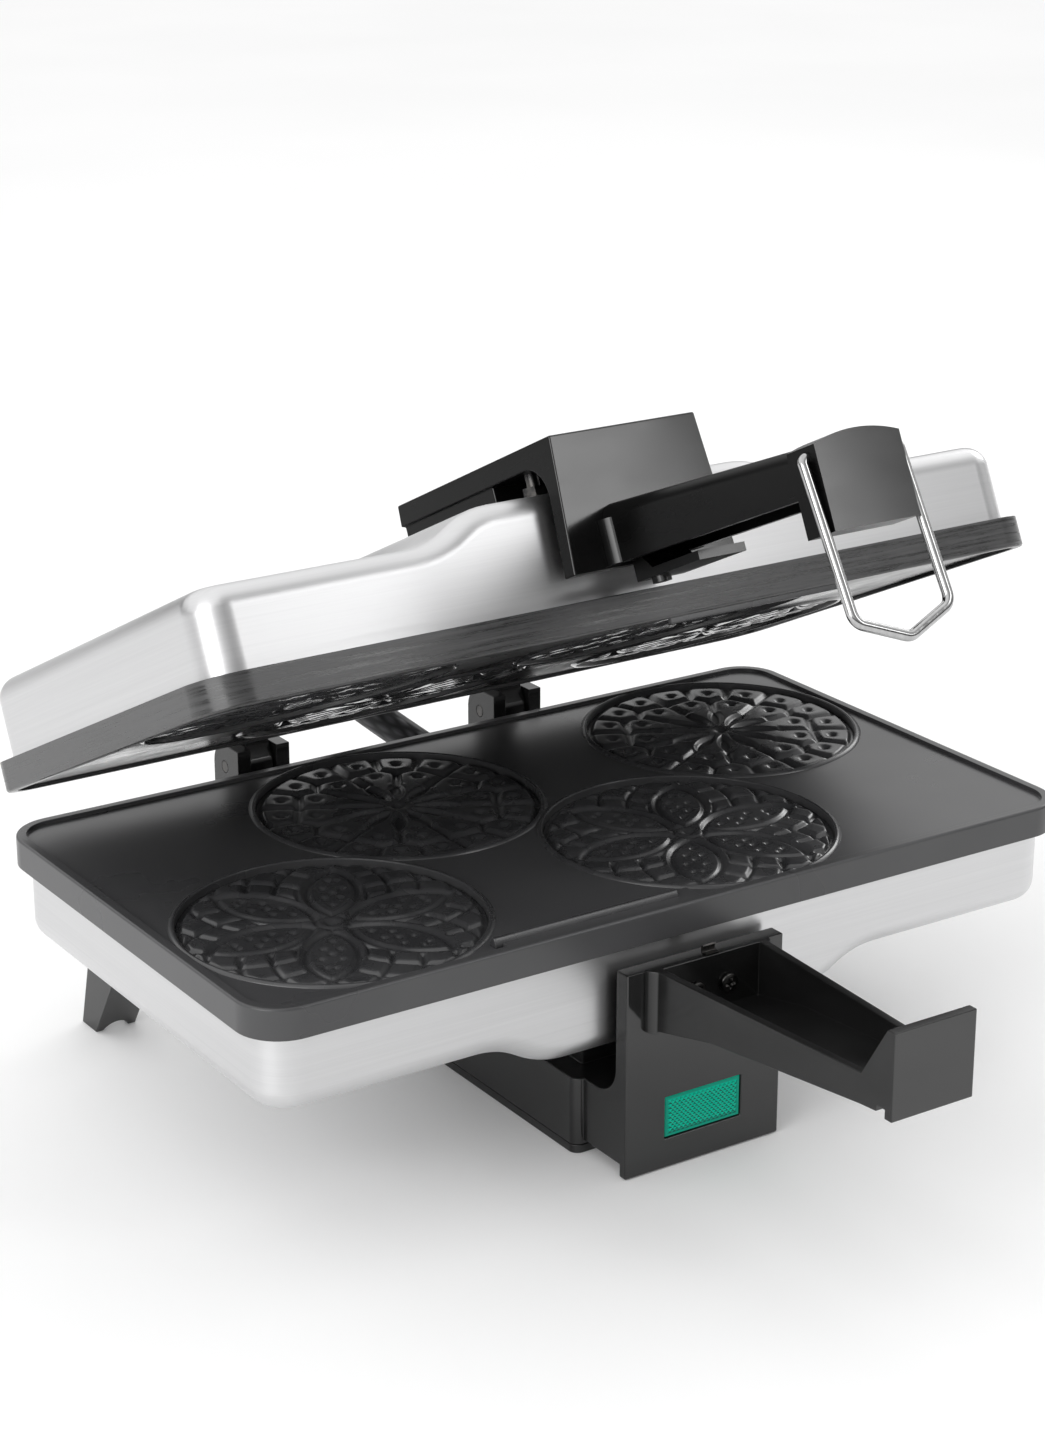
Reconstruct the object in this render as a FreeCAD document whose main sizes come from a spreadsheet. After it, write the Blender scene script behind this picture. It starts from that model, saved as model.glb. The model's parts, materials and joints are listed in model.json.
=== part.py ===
import FreeCAD, Part
import math
import os
from types import SimpleNamespace

import Sketcher
from FreeCAD import Placement, Rotation, Vector

# Electric wafer-cookie iron with four small round moulds.
# Millimetres, +Z up, +Y to the hinges. The origin is on the table, under the middle of the plates.
# Each half is drawn in its own frame: its rim plane at zero, with depth growing away from the other half.

DRIVING_SIZES = [
    ("plate_width", 288, "cast plate, left to right"),
    ("plate_depth", 163.2, "cast plate, front to back"),
    ("plate_corner", 14, "plan radius of the plate's corners"),
    ("plate_skirt", 9.5, "height of the plate's skirt"),
    ("plate_web", 5.4, "thickness of the plate behind its cooking face"),
    ("skirt_wall", 7, "width of the land that the shell sits on"),
    ("lip_width", 3.2, "flat lip round the cooking face"),
    ("lip_height", 1.2, "height of the lip over the cooking face"),
    ("lip_round", 0.9, "rounding of the lip's outer edge"),
    ("rim_height", 81, "lower lip over the table"),
    ("rim_gap", 2, "gap between the lips when shut"),
    ("mould_pitch", 62.8, "sideways step from mould to mould"),
    ("mould_stagger", 33.6, "how far each mould lies before or behind the middle"),
    ("mould_radius", 44.6, "radius of a round mould"),
    ("mould_depth", 2, "depth of a mould under the cooking face"),
    ("mould_bead", 1.2, "width of the bead round a mould"),
    ("bead_height", 0.5, "height of that bead"),
    ("ledge_left", 64, "raised ledge behind the front lip, its end left of the middle"),
    ("ledge_right", 2.3, "its end right of the middle"),
    ("ledge_width", 6.5, "how far it reaches behind the lip"),
    ("carving_depth", 0.9, "depth of the petals cut in a mould"),
    ("petal_root", 6, "from a mould's middle to a large petal"),
    ("petal_length", 33, "large petal"),
    ("petal_width", 15, "large petal"),
    ("ray_root", 4.5, "from a mould's middle to a narrow petal"),
    ("ray_length", 17, "narrow petal"),
    ("ray_width", 5, "narrow petal"),
    ("shell_inset", 4, "from the plate's edge in to the shell"),
    ("shell_wall", 24.5, "height of the shell's side"),
    ("shell_rise", 8.5, "rise of the swept middle over the shell's ends"),
    ("rise_outer", 72, "where the sweep starts, from the middle"),
    ("rise_inner", 42, "where the sweep ends, from the middle"),
    ("shell_gauge", 0.9, "sheet thickness of a shell"),
    ("shell_corner", 11, "plan radius of a shell's corners"),
    ("shell_edge", 7, "radius of a shell's outer edge"),
    ("boss_x", 88, "screw boss on a plate's back, from the middle"),
    ("boss_y", 30, "screw boss on a plate's back, from the middle"),
    ("boss_radius", 4.5, "screw boss"),
    ("boss_height", 11, "screw boss"),
    ("reflector_gauge", 0.8, "heat shield sheet"),
    ("reflector_margin", 9, "from the shell in to the heat shield"),
    ("element_radius", 3.2, "tubular heating element"),
    ("element_half_x", 112, "heating element loop"),
    ("element_half_y", 52, "heating element loop"),
    ("element_bend", 18, "heating element's corner radius"),
    ("element_legs", 16, "half the distance between the element's cold ends"),
    ("element_leg_bend", 9.6, "bend from the front run into the cold ends"),
    ("element_reach", 34, "how far the cold ends come in from the front run"),
    ("clip_width", 9, "saddle clip along the element"),
    ("clip_foot", 5, "foot of a saddle clip"),
    ("clip_gauge", 0.9, "saddle clip sheet"),
    ("seat_clearance", 0.1, "play of pieces that sit loosely in a seat"),
    ("screw_radius", 1.5, "shank of the small screws"),
    ("screw_head", 2.8, "head radius of the small screws"),
    ("screw_head_height", 2, "head of the small screws"),
    ("screw_play", 0.1, "radial play round a screw"),
    ("thermostat_radius", 9, "snap-disc thermostat's cap"),
    ("thermostat_cap", 3.2, "height of that cap"),
    ("thermostat_core", 7.2, "radius of the thermostat's body"),
    ("thermostat_height", 8, "thermostat with its cap"),
    ("hinge_setback", 15.4, "hinge axis behind the plate's back edge"),
    ("hinge_drop", 3, "hinge axis under the lower lip"),
    ("lid_open", 25.8, "lid angle at rest"),
    ("hinge_x", 49, "hinge from the middle"),
    ("hinge_width", 19, "hinge bracket"),
    ("hinge_tongue", 8.6, "tongue of the lid bracket"),
    ("hinge_side_play", 0.4, "play beside the tongue"),
    ("hinge_barrel", 7.5, "outer radius of the knuckles"),
    ("hinge_front_gap", 6.4, "from the plate's back edge to the lower bracket's tower"),
    ("hinge_pin_radius", 2, "hinge pin"),
    ("hinge_pin_play", 0.05, "radial running clearance of a pin"),
    ("hinge_pad", 4, "thickness of a bracket's pad on the shell"),
    ("hinge_pad_low", 12, "pad's near edge, from the rim"),
    ("hinge_pad_high", 25, "pad's far edge, from the rim"),
    ("hinge_foot", 10, "how far the tower's back reaches behind its pad"),
    ("plastic_wall", 2.6, "wall of the black mouldings"),
    ("box_half", 31, "half width of the wiring housing"),
    ("box_front", 64, "wiring housing's front, before the middle"),
    ("box_back", 18, "wiring housing's back, behind the middle"),
    ("box_height", 24.5, "wiring housing's top, over the table"),
    ("box_corner", 3, "wiring housing's upright corners"),
    ("cover_thick", 2.7, "bottom cover"),
    ("plinth_inset", 8, "from the housing's side in to its plinth"),
    ("panel_half", 28, "half width of the lower front panel"),
    ("panel_stand", 3.9, "front panels' faces before the plates' edges"),
    ("panel_thick", 3, "front panels"),
    ("panel_flange", 5.5, "depth of the lower panel's side flanges"),
    ("panel_drop", 15.8, "lower panel's top under the lower lip"),
    ("panel_foot", 0.3, "lower panel's bottom, over the table"),
    ("neck_rise", 4.2, "underside of the neck behind the panel"),
    ("arch_radius", 9.5, "arch in the lower housing's side"),
    ("window_width", 27.6, "lamp window"),
    ("window_height", 13.3, "lamp window"),
    ("lens_recess", 0.6, "how far the lens lies back in its window"),
    ("lens_play", 0.15, "gap round the lens"),
    ("lens_flange", 1.6, "rim behind the window"),
    ("lens_flange_thick", 1.2, "rim behind the window"),
    ("lens_seat_gap", 1.35, "from the neck's floor up to the lens rim"),
    ("retainer_margin", 1.4, "lamp retainer beside the lens rim"),
    ("lamp_radius", 3, "neon lamp"),
    ("lamp_length", 14, "neon lamp"),
    ("handle_half", 14, "half width of the handles at their ends"),
    ("handle_root_half", 19.8, "half width of the lower handle at its root"),
    ("handle_wall", 2.6, "wall of the handles"),
    ("handle_length", 99.5, "lower handle from the panel to its end"),
    ("handle_end_thick", 3, "upright end of the lower handle"),
    ("handle_end_rise", 2.4, "top of that upright end over the lower lip"),
    ("handle_end_drop", 23.4, "foot of that upright end under the lower lip"),
    ("handle_root_drop", 15, "lower handle's wall at the panel, under the lower lip"),
    ("handle_root_height", 19.5, "height of the lower handle at the panel"),
    ("handle_bend_reach", 26, "from the panel to where the underside bends"),
    ("handle_bend_drop", 28.7, "underside at that bend, under the lower lip"),
    ("handle_tip_reach", 86.5, "from the panel to where the walls turn up to the end"),
    ("handle_tip_drop", 14, "wall there, under the lower lip"),
    ("handle_tip_height", 8.6, "height of the handle next to the notch"),
    ("notch_width", 3.4, "notch for the latch wire"),
    ("notch_depth", 1.8, "notch for the latch wire"),
    ("flare_width", 2.2, "flare of a handle's root"),
    ("flare_length", 4, "flare of a handle's root"),
    ("upper_flare_top", 30.6, "top of the upper handle's flare, from the rim"),
    ("upper_panel_foot", 16.6, "upper panel's lower edge, from the rim"),
    ("upper_top", 56.7, "upper housing's top, from the rim"),
    ("upper_half_top", 25.2, "upper housing's half width at its top"),
    ("upper_half_foot", 28, "upper housing's half width at the panel's edge"),
    ("upper_back", 6, "upper housing's back, behind the middle"),
    ("upper_band", 50, "upper housing's side edge, from the rim"),
    ("upper_flange", 5.5, "depth of the upper panel's side flanges"),
    ("upper_arch", 11, "arch in the upper housing's side"),
    ("upper_plinth_front", 49, "front of the upper housing's seat, before the middle"),
    ("upper_plinth_inset", 0.6, "from the upper housing's top edge in to its seat"),
    ("upper_handle_length", 100.9, "upper handle from the panel to its end"),
    ("upper_handle_block", 12, "end block, front to back"),
    ("upper_handle_root_top", 34.8, "upper handle's top at the panel"),
    ("upper_handle_tip_top", 28.3, "upper handle's top at its end"),
    ("upper_handle_foot", 17.6, "upper handle's edge at the panel"),
    ("upper_handle_tip_foot", 15.9, "upper handle's edge at the block"),
    ("upper_block_foot", 5.4, "foot of the end block"),
    ("handle_round", 4, "rounding along the upper handle's top"),
    ("tongue_half", 8, "half width of the tongue under the upper handle"),
    ("tongue_reach", 32, "tongue from the panel"),
    ("tongue_low", 11.4, "tongue's underside, from the rim"),
    ("tongue_thick", 2.6, "tongue under the upper handle"),
    ("tongue_root", 9, "where the tongue is joined up to the handle, from the panel"),
    ("tongue_boss_radius", 2.8, "boss under the tongue"),
    ("tongue_boss_reach", 7.5, "that boss from the panel"),
    ("tongue_boss_side", 4.8, "that boss left of the middle"),
    ("tongue_boss_drop", 1.8, "how far that boss hangs under the tongue"),
    ("block_crown", 2.4, "crown of the end block's top"),
    ("bail_radius", 1.5, "latch wire"),
    ("bail_side_play", 0.3, "gap between the latch wire's legs and the upper handle"),
    ("bail_pivot_inset", 4, "latch pivot from the upper handle's end"),
    ("bail_pivot_depth", 25.4, "latch pivot, from the rim"),
    ("bail_leg", 44, "latch wire's leg"),
    ("bail_point", 6.4, "how far the latch wire's point hangs under its legs"),
    ("bail_bend", 4, "lower bend radius of the latch wire"),
    ("bail_top_bend", 1.7, "bend radius next to the handle"),
    ("bail_tilt", 6.1, "latch wire's angle to the lid's normal at rest"),
    ("bail_seat", 3.2, "how far the wire's ends reach into the block"),
    ("bail_play", 0.05, "radial running clearance of the wire's ends"),
    ("leg_inset", 28, "rear leg's outer face in from the shell's side"),
    ("leg_width", 14, "rear leg"),
    ("leg_wall", 2.6, "rear leg"),
    ("leg_top_lap", 17.6, "how far the rear leg's top reaches under the shell"),
    ("leg_top_depth", 27, "rear leg's top, front to back"),
    ("leg_foot_stand", 12.4, "rear leg's foot behind the shell"),
    ("leg_foot_depth", 10, "rear leg's foot, front to back"),
    ("leg_arch", 3, "arch under the rear leg's foot"),
    ("gland_radius", 6.5, "cord gland's collar"),
    ("gland_neck", 5, "cord gland's neck"),
    ("gland_bore", 3.6, "cord gland's bore"),
    ("gland_collar", 3, "thickness of the gland's collar"),
    ("gland_z", 12, "cord gland over the table"),
    ("lead_radius", 5.5, "sleeved lead between the halves"),
    ("lead_base_x", 27, "where the lead enters the base"),
    ("lead_lid_x", -20, "where the lead enters the lid"),
    ("lead_depth", 20, "where the lead enters each shell, from its rim"),
    ("lead_run", 18, "how far the lead leaves the lid before it turns"),
    ("bush_radius", 8.5, "collar of the lead's bush"),
    ("bush_neck", 7, "neck of the lead's bush"),
    ("bush_collar", 2.2, "thickness of the bush's collar"),
    ("block_length", 36, "terminal block"),
    ("block_depth", 14, "terminal block"),
    ("block_height", 11, "terminal block"),
]

MOULDS = 4
LARGE_PETALS = 6
NARROW_PETALS = 12
DRAWING_SLACK = 0.01
BEND_SHARE = 0.45

doc = FreeCAD.newDocument("wafer_iron")


class Size:
    """A length or angle, with the sheet formula that it comes from."""

    def __init__(self, number, text):
        self.number = float(number)
        self.text = text

    def __add__(self, other):
        other = as_size(other)
        return Size(self.number + other.number, f"({self.text} + {other.text})")

    def __sub__(self, other):
        other = as_size(other)
        return Size(self.number - other.number, f"({self.text} - {other.text})")

    def __mul__(self, other):
        other = as_size(other)
        return Size(self.number * other.number, f"({self.text} * {other.text})")

    def __truediv__(self, other):
        other = as_size(other)
        return Size(self.number / other.number, f"({self.text} / {other.text})")

    def __radd__(self, other):
        return as_size(other) + self

    def __rsub__(self, other):
        return as_size(other) - self

    def __rmul__(self, other):
        return as_size(other) * self

    def __neg__(self):
        return Size(-self.number, f"(0 - {self.text})")


def as_size(value):
    if isinstance(value, Size):
        return value
    return Size(value, f"({value})")


def sine(angle):
    return Size(math.sin(math.radians(angle.number)), f"sin({angle.text})")


def cosine(angle):
    return Size(math.cos(math.radians(angle.number)), f"cos({angle.text})")


def root(value):
    return Size(math.sqrt(value.number), f"sqrt({value.text})")


def make_sheet():
    """The driving dimensions, one named cell each."""
    sheet = doc.addObject("Spreadsheet::Sheet", "Dims")
    for row, (alias, value, meaning) in enumerate(DRIVING_SIZES, start=1):
        sheet.set(f"A{row}", meaning)
        sheet.set(f"B{row}", str(value))
        sheet.setAlias(f"B{row}", alias)
    doc.recompute()
    return SimpleNamespace(**{
        alias: Size(sheet.get(alias), f"Dims.{alias}") for alias, _, _ in DRIVING_SIZES
    })


d = make_sheet()


def tie(thing, prop, value):
    thing.setExpression(prop, as_size(value).text)


def tie_base(thing, x, y, z, holder="Placement"):
    for axis, value in zip("xyz", (x, y, z)):
        tie(thing, f"{holder}.Base.{axis}", value)


# Sketches and features

def new_body(label):
    body = doc.addObject("PartDesign::Body", label)
    body.Label = label
    return body


def new_sketch(body, plane, shift=0, at=(0, 0)):
    """An empty sketch on one of the body's own planes, shifted along its normal and in its plane."""
    planes = {feature.Role: feature for feature in body.Origin.OriginFeatures}
    sketch = body.newObject("Sketcher::SketchObject", "outline")
    sketch.AttachmentSupport = [(planes[f"{plane}_Plane"], "")]
    sketch.MapMode = "FlatFace"
    tie_base(sketch, at[0], at[1], shift, "AttachmentOffset")
    return sketch


def pin_down(sketch, geometry, end, spot):
    """Hold one end of an edge at a spot worked out from the sheet."""
    for kind, value in zip(("DistanceX", "DistanceY"), spot):
        number = sketch.addConstraint(Sketcher.Constraint(kind, -1, 1, geometry, end, value.number))
        sketch.setExpression(f"Constraints[{number}]", value.text)


def arc_between(start, end, radius):
    """The short arc from start to end, turning left for a positive radius."""
    chord = end - start
    left = Vector(-chord.y, chord.x, 0).normalize()
    rise = math.sqrt(max(radius * radius - chord.Length * chord.Length / 4, 0))
    centre = (start + end) / 2 + left * math.copysign(rise, radius)
    first, last = (start, end) if radius > 0 else (end, start)
    angles = [math.atan2(p.y - centre.y, p.x - centre.x) for p in (first, last)]
    circle = Part.Circle(centre, Vector(0, 0, 1), abs(radius))
    return Part.ArcOfCircle(circle, angles[0], angles[1])


def draw(sketch, points, closed=True):
    """Lines through the points; a third entry is the radius of the arc that arrives at that point."""
    spots = [tuple(as_size(value) for value in point[:2]) for point in points]
    places = [Vector(u.number, v.number, 0) for u, v in spots]
    count = len(points)
    edges = []
    for index in range(count if closed else count - 1):
        after = (index + 1) % count
        if len(points[after]) > 2:
            radius = as_size(points[after][2])
            geometry = sketch.addGeometry(arc_between(places[index], places[after], radius.number), False)
            ends = (1, 2) if radius.number > 0 else (2, 1)
            size = radius if radius.number > 0 else -radius
            number = sketch.addConstraint(Sketcher.Constraint("Radius", geometry, size.number))
            sketch.setExpression(f"Constraints[{number}]", size.text)
        else:
            geometry = sketch.addGeometry(Part.LineSegment(places[index], places[after]), False)
            ends = (1, 2)
        edges.append((geometry, ends))
    for (geometry, ends), (following, next_ends) in zip(edges, edges[1:] + edges[:1]):
        if closed or following != edges[0][0]:
            sketch.addConstraint(Sketcher.Constraint("Coincident", geometry, ends[1], following, next_ends[0]))
    for (geometry, ends), spot in zip(edges, spots):
        pin_down(sketch, geometry, ends[0], spot)
    if not closed:
        pin_down(sketch, edges[-1][0], edges[-1][1][1], spots[-1])
    return sketch


def draw_circle(sketch, x, y, radius):
    x, y, radius = as_size(x), as_size(y), as_size(radius)
    circle = Part.Circle(Vector(x.number, y.number, 0), Vector(0, 0, 1), radius.number)
    geometry = sketch.addGeometry(circle, False)
    pin_down(sketch, geometry, 3, (x, y))
    number = sketch.addConstraint(Sketcher.Constraint("Radius", geometry, radius.number))
    sketch.setExpression(f"Constraints[{number}]", radius.text)


def rectangle(left, right, near, far):
    return [(left, near), (right, near), (right, far), (left, far)]


def rounded(half_x, half_y, corner):
    return [
        (corner - half_x, -half_y, corner), (half_x - corner, -half_y),
        (half_x, corner - half_y, corner), (half_x, half_y - corner),
        (half_x - corner, half_y, corner), (corner - half_x, half_y),
        (-half_x, half_y - corner, corner), (-half_x, corner - half_y),
    ]


def feature(kind, body, sketch, length, symmetric, reverse):
    made = body.newObject(f"PartDesign::{kind}", kind.lower())
    made.Profile = sketch
    made.SideType = "Symmetric" if symmetric else "One side"
    made.Reversed = reverse
    if length is None:
        made.Type = "ThroughAll"
    else:
        tie(made, "Length", length)
    doc.recompute()
    return made


def pad(body, sketch, length, symmetric=False, reverse=False):
    return feature("Pad", body, sketch, length, symmetric, reverse)


def pocket(body, sketch, length=None, symmetric=False, reverse=False):
    """Cut away; the volume has to fall."""
    before = body.Shape.Volume
    made = feature("Pocket", body, sketch, length, symmetric, reverse)
    if body.Shape.Volume > before - DRAWING_SLACK:
        raise RuntimeError(f"{body.Label}: a pocket cut nothing")
    return made


def fillet(body, radius, chosen):
    base = body.Tip
    names = [f"Edge{n}" for n, edge in enumerate(base.Shape.Edges, start=1) if chosen(edge)]
    made = body.newObject("PartDesign::Fillet", "fillet")
    made.Base = (base, names)
    tie(made, "Radius", radius)
    doc.recompute()
    return made


def runs_along(edge, axis):
    """A straight edge parallel to an axis, 0 to 2 for X to Z."""
    if not isinstance(edge.Curve, Part.Line):
        return False
    return abs(abs(edge.Curve.Direction[axis]) - 1) < DRAWING_SLACK


def polar(body, base, sketch, count):
    made = body.newObject("PartDesign::PolarPattern", "pattern")
    made.Originals = [base]
    made.Axis = (sketch, ["N_Axis"])
    made.Angle = 360
    made.Occurrences = count
    body.Tip = made
    doc.recompute()
    return made


# Primitives

def box(low, high):
    made = doc.addObject("Part::Box", "block")
    for prop, start, end in zip(("Length", "Width", "Height"), low, high):
        tie(made, prop, as_size(end) - start)
    tie_base(made, *low)
    return made


TURN_TO = {
    "x": Rotation(Vector(0, 1, 0), 90),
    "y": Rotation(Vector(1, 0, 0), -90),
    "z": Rotation(),
}


def rod(spot, radius, length, along):
    """A cylinder that starts at a spot and runs along +X, +Y or +Z."""
    made = doc.addObject("Part::Cylinder", "rod")
    made.Placement = Placement(Vector(), TURN_TO[along])
    tie(made, "Radius", radius)
    tie(made, "Height", length)
    tie_base(made, *spot)
    return made


def joined(label, kind, shapes):
    made = doc.addObject(kind, label)
    made.Label = label
    if kind == "Part::Compound":
        made.Links = shapes
    else:
        made.Shapes = shapes
    return made


def fuse(shapes, label="fused"):
    return joined(label, "Part::MultiFuse", shapes)


def group(label, shapes):
    return joined(label, "Part::Compound", shapes)


def cut(label, base, tool):
    made = doc.addObject("Part::Cut", label)
    made.Label = label
    made.Base = base
    made.Tool = tool
    return made


def screw(spot, along, shank_length, radius=d.screw_radius, head=d.screw_head):
    """A pan-head screw: the head's outer face at the spot, the shank running on along the axis."""
    step = {"x": (1, 0, 0), "y": (0, 1, 0), "z": (0, 0, 1)}[along]
    under = tuple(as_size(s) + d.screw_head_height * k for s, k in zip(spot, step))
    return fuse([
        rod(spot, head, d.screw_head_height, along),
        rod(under, radius, shank_length, along),
    ])


# Frames and nodes

nodes = []
half_width = d.plate_width / 2
half_depth = d.plate_depth / 2
lid_rim = d.rim_height + d.rim_gap
hinge_y = half_depth + d.hinge_setback
hinge_z = d.rim_height - d.hinge_drop


def keep(made, frame="row"):
    """Place a finished piece in the row's frame."""
    if frame == "base":
        made.Placement = Placement(Vector(), Rotation(Vector(0, 1, 0), 180))
        tie_base(made, 0, 0, d.rim_height)
    if frame == "lid":
        made.Placement = Placement(Vector(), Rotation(Vector(-1, 0, 0), d.lid_open.number))
        tie(made, "Placement.Rotation.Angle", d.lid_open)
        tie_base(made, 0, *lid_point(0, 0))
    nodes.append(made)
    return made


def lid_point(y, depth):
    """Where a point of the lid's own frame lies at rest, as the row's y and z."""
    back = as_size(y) - hinge_y
    up = lid_rim + depth - hinge_z
    return (
        hinge_y + back * cosine(d.lid_open) + up * sine(d.lid_open),
        hinge_z - back * sine(d.lid_open) + up * cosine(d.lid_open),
    )


shell_half_x = half_width - d.shell_inset
shell_half_y = half_depth - d.shell_inset
web_back = d.lip_height + d.plate_web
shell_end = d.plate_skirt + d.shell_wall
plateau = shell_end + d.shell_rise
boss_end = web_back + d.boss_height
panel_face = half_depth + d.panel_stand
panel_top = d.rim_height - d.panel_drop
neck_floor = d.neck_rise + d.plastic_wall
window_z = neck_floor + d.lens_seat_gap + d.lens_flange + d.window_height / 2
handle_root_top = d.rim_height - d.handle_root_drop
handle_root_foot = handle_root_top - d.handle_root_height
bail_half = d.handle_half + d.bail_side_play + d.bail_radius
bail_pivot_y = panel_face + d.upper_handle_length - d.bail_pivot_inset


# Cast plates

def mould_middles(side):
    """Four staggered moulds; the two halves mirror each other so that they meet when shut."""
    for number in range(MOULDS):
        half_steps = 2 * number + 1 - MOULDS
        in_front = number % 2 == 0
        before = -1 if in_front else 1
        yield side * half_steps * d.mould_pitch / 2, before * d.mould_stagger, in_front


def lens(sketch, root, length, width):
    """A pointed petal from two bowed sides, leading away from the mould's middle."""
    half = length / 2
    bow = width / 2
    radius = (half * half + bow * bow) / (2 * bow)
    middle = root + half
    draw(sketch, [
        (root, 0, radius), (middle, -bow, radius), (root + length, 0, radius), (middle, bow, radius),
    ])


def make_plate(label, frame, side):
    body = new_body(label)
    pad(body, draw(new_sketch(body, "XY"), rounded(half_width, half_depth, d.plate_corner)), d.plate_skirt)
    fillet(body, d.lip_round, lambda edge: edge.BoundBox.ZMax < DRAWING_SLACK)

    inner_corner = d.plate_corner - d.lip_width
    lip = draw(
        new_sketch(body, "XY"),
        rounded(half_width - d.lip_width, half_depth - d.lip_width, inner_corner),
    )
    pocket(body, lip, d.lip_height, reverse=True)

    hollow = draw(
        new_sketch(body, "XY", d.plate_skirt),
        rounded(half_width - d.skirt_wall, half_depth - d.skirt_wall, d.plate_corner - d.skirt_wall),
    )
    pocket(body, hollow, d.plate_skirt - web_back)

    ledge_back = d.lip_width + d.ledge_width - half_depth
    ledge = draw(new_sketch(body, "XY", d.lip_height), rectangle(
        -side * d.ledge_left, side * d.ledge_right, -half_depth + d.lip_width, ledge_back,
    ))
    pad(body, ledge, d.lip_height, reverse=True)

    beads = new_sketch(body, "XY", d.lip_height)
    for x, y, _ in mould_middles(side):
        draw_circle(beads, x, y, d.mould_radius + d.mould_bead)
    pad(body, beads, d.bead_height, reverse=True)
    wells = new_sketch(body, "XY", d.lip_height - d.bead_height)
    for x, y, _ in mould_middles(side):
        draw_circle(wells, x, y, d.mould_radius)
    pocket(body, wells, d.mould_depth + d.bead_height, reverse=True)

    floor = d.lip_height + d.mould_depth
    for x, y, in_front in mould_middles(side):
        sketch = new_sketch(body, "XY", floor, (x, y))
        if in_front:
            lens(sketch, d.petal_root, d.petal_length, d.petal_width)
        else:
            lens(sketch, d.ray_root, d.ray_length, d.ray_width)
        cutter = pocket(body, sketch, d.carving_depth, reverse=True)
        polar(body, cutter, sketch, LARGE_PETALS if in_front else NARROW_PETALS)

    bosses = new_sketch(body, "XY", web_back)
    holes = new_sketch(body, "XY", boss_end)
    for x in (-d.boss_x, d.boss_x):
        for y in (-d.boss_y, d.boss_y):
            draw_circle(bosses, x, y, d.boss_radius)
            draw_circle(holes, x, y, d.screw_radius + d.screw_play)
    pad(body, bosses, d.boss_height)
    pocket(body, holes, d.boss_height)
    keep(body, frame)


# Stamped shells

def swept_outline(inset):
    """Front view of a shell: flat ends and a middle that rises in two S-curves."""
    low = d.plate_skirt
    end = shell_end - inset
    top = plateau - inset
    half = shell_half_x - inset
    middle = (d.rise_outer + d.rise_inner) / 2
    half_run = (d.rise_outer - d.rise_inner) / 2
    half_rise = d.shell_rise / 2
    bend = (half_run * half_run + half_rise * half_rise) / (2 * half_rise)
    return [
        (-half, low), (half, low), (half, end), (d.rise_outer, end),
        (middle, end + half_rise, -bend), (d.rise_inner, top, bend), (-d.rise_inner, top),
        (-middle, end + half_rise, bend), (-d.rise_outer, end, -bend), (-half, end),
    ]


def shell_solid(label, inset):
    body = new_body(label)
    depth = (shell_half_y - inset) * 2
    pad(body, draw(new_sketch(body, "XZ"), swept_outline(inset)), depth, symmetric=True)
    limit_x = (shell_half_x - inset).number
    limit_y = (shell_half_y - inset).number
    fillet(body, d.shell_corner - inset, lambda edge: runs_along(edge, 2))

    def on_outer_edge(edge):
        centre = edge.CenterOfMass
        low = edge.BoundBox.ZMin
        if low < (shell_end - inset).number - DRAWING_SLACK:
            return False
        at_side = abs(centre.x) > limit_x - d.shell_corner.number
        at_front = abs(centre.y) > limit_y - d.shell_corner.number
        return at_side or at_front

    fillet(body, d.shell_edge - inset, on_outer_edge)
    return body


def make_shell(label, frame):
    """A pressed pan, with holes for the hinge screws and the sleeved lead in its back."""
    outer = shell_solid(label + "_outside", 0)
    inner = shell_solid(label + "_inside", d.shell_gauge)
    lead_x = d.lead_lid_x if frame == "lid" else -d.lead_base_x
    back = shell_half_y - d.shell_corner / 2
    holes = [rod((lead_x, back, d.lead_depth), d.bush_neck + d.seat_clearance, d.shell_corner, "y")]
    pad_middle = (d.hinge_pad_low + d.hinge_pad_high) / 2
    for x in (-d.hinge_x, d.hinge_x):
        holes.append(rod((x, back, pad_middle), d.screw_radius + d.screw_play, d.shell_corner, "y"))
    pan = cut(label + "_pan", outer, inner)
    keep(cut(label, pan, fuse(holes)), frame)


def make_hinge_screws(label, frame):
    """Screws from inside the shell into the hinge brackets."""
    pad_middle = (d.hinge_pad_low + d.hinge_pad_high) / 2
    start = shell_half_y - d.shell_gauge - d.screw_head_height
    screws = [
        screw((x, start, pad_middle), "y", d.shell_gauge + d.hinge_pad) for x in (-d.hinge_x, d.hinge_x)
    ]
    keep(group(label, screws), frame)


# Heating

def make_element(label, frame):
    """A tubular loop on the plate's back, with its cold ends brought in from the front."""
    body = new_body(label)
    bend = d.element_bend
    half_x, half_y, legs = d.element_half_x, d.element_half_y, d.element_legs
    height = web_back + d.element_radius + d.seat_clearance
    inner_end = d.element_reach - half_y
    turn = d.element_leg_bend
    path = draw(new_sketch(body, "XY", height), [
        (-legs, inner_end), (-legs, turn - half_y), (-legs - turn, -half_y, -turn),
        (bend - half_x, -half_y), (-half_x, bend - half_y, -bend),
        (-half_x, half_y - bend), (bend - half_x, half_y, -bend),
        (half_x - bend, half_y), (half_x, half_y - bend, -bend),
        (half_x, bend - half_y), (half_x - bend, -half_y, -bend),
        (legs + turn, -half_y), (legs, turn - half_y, -turn), (legs, inner_end),
    ], closed=False)
    ring = new_sketch(body, "XZ", -inner_end, (0, height))
    draw_circle(ring, -legs, 0, d.element_radius)
    pipe = body.newObject("PartDesign::AdditivePipe", "pipe")
    pipe.Profile = ring
    pipe.Spine = path
    doc.recompute()
    keep(body, frame)


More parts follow.
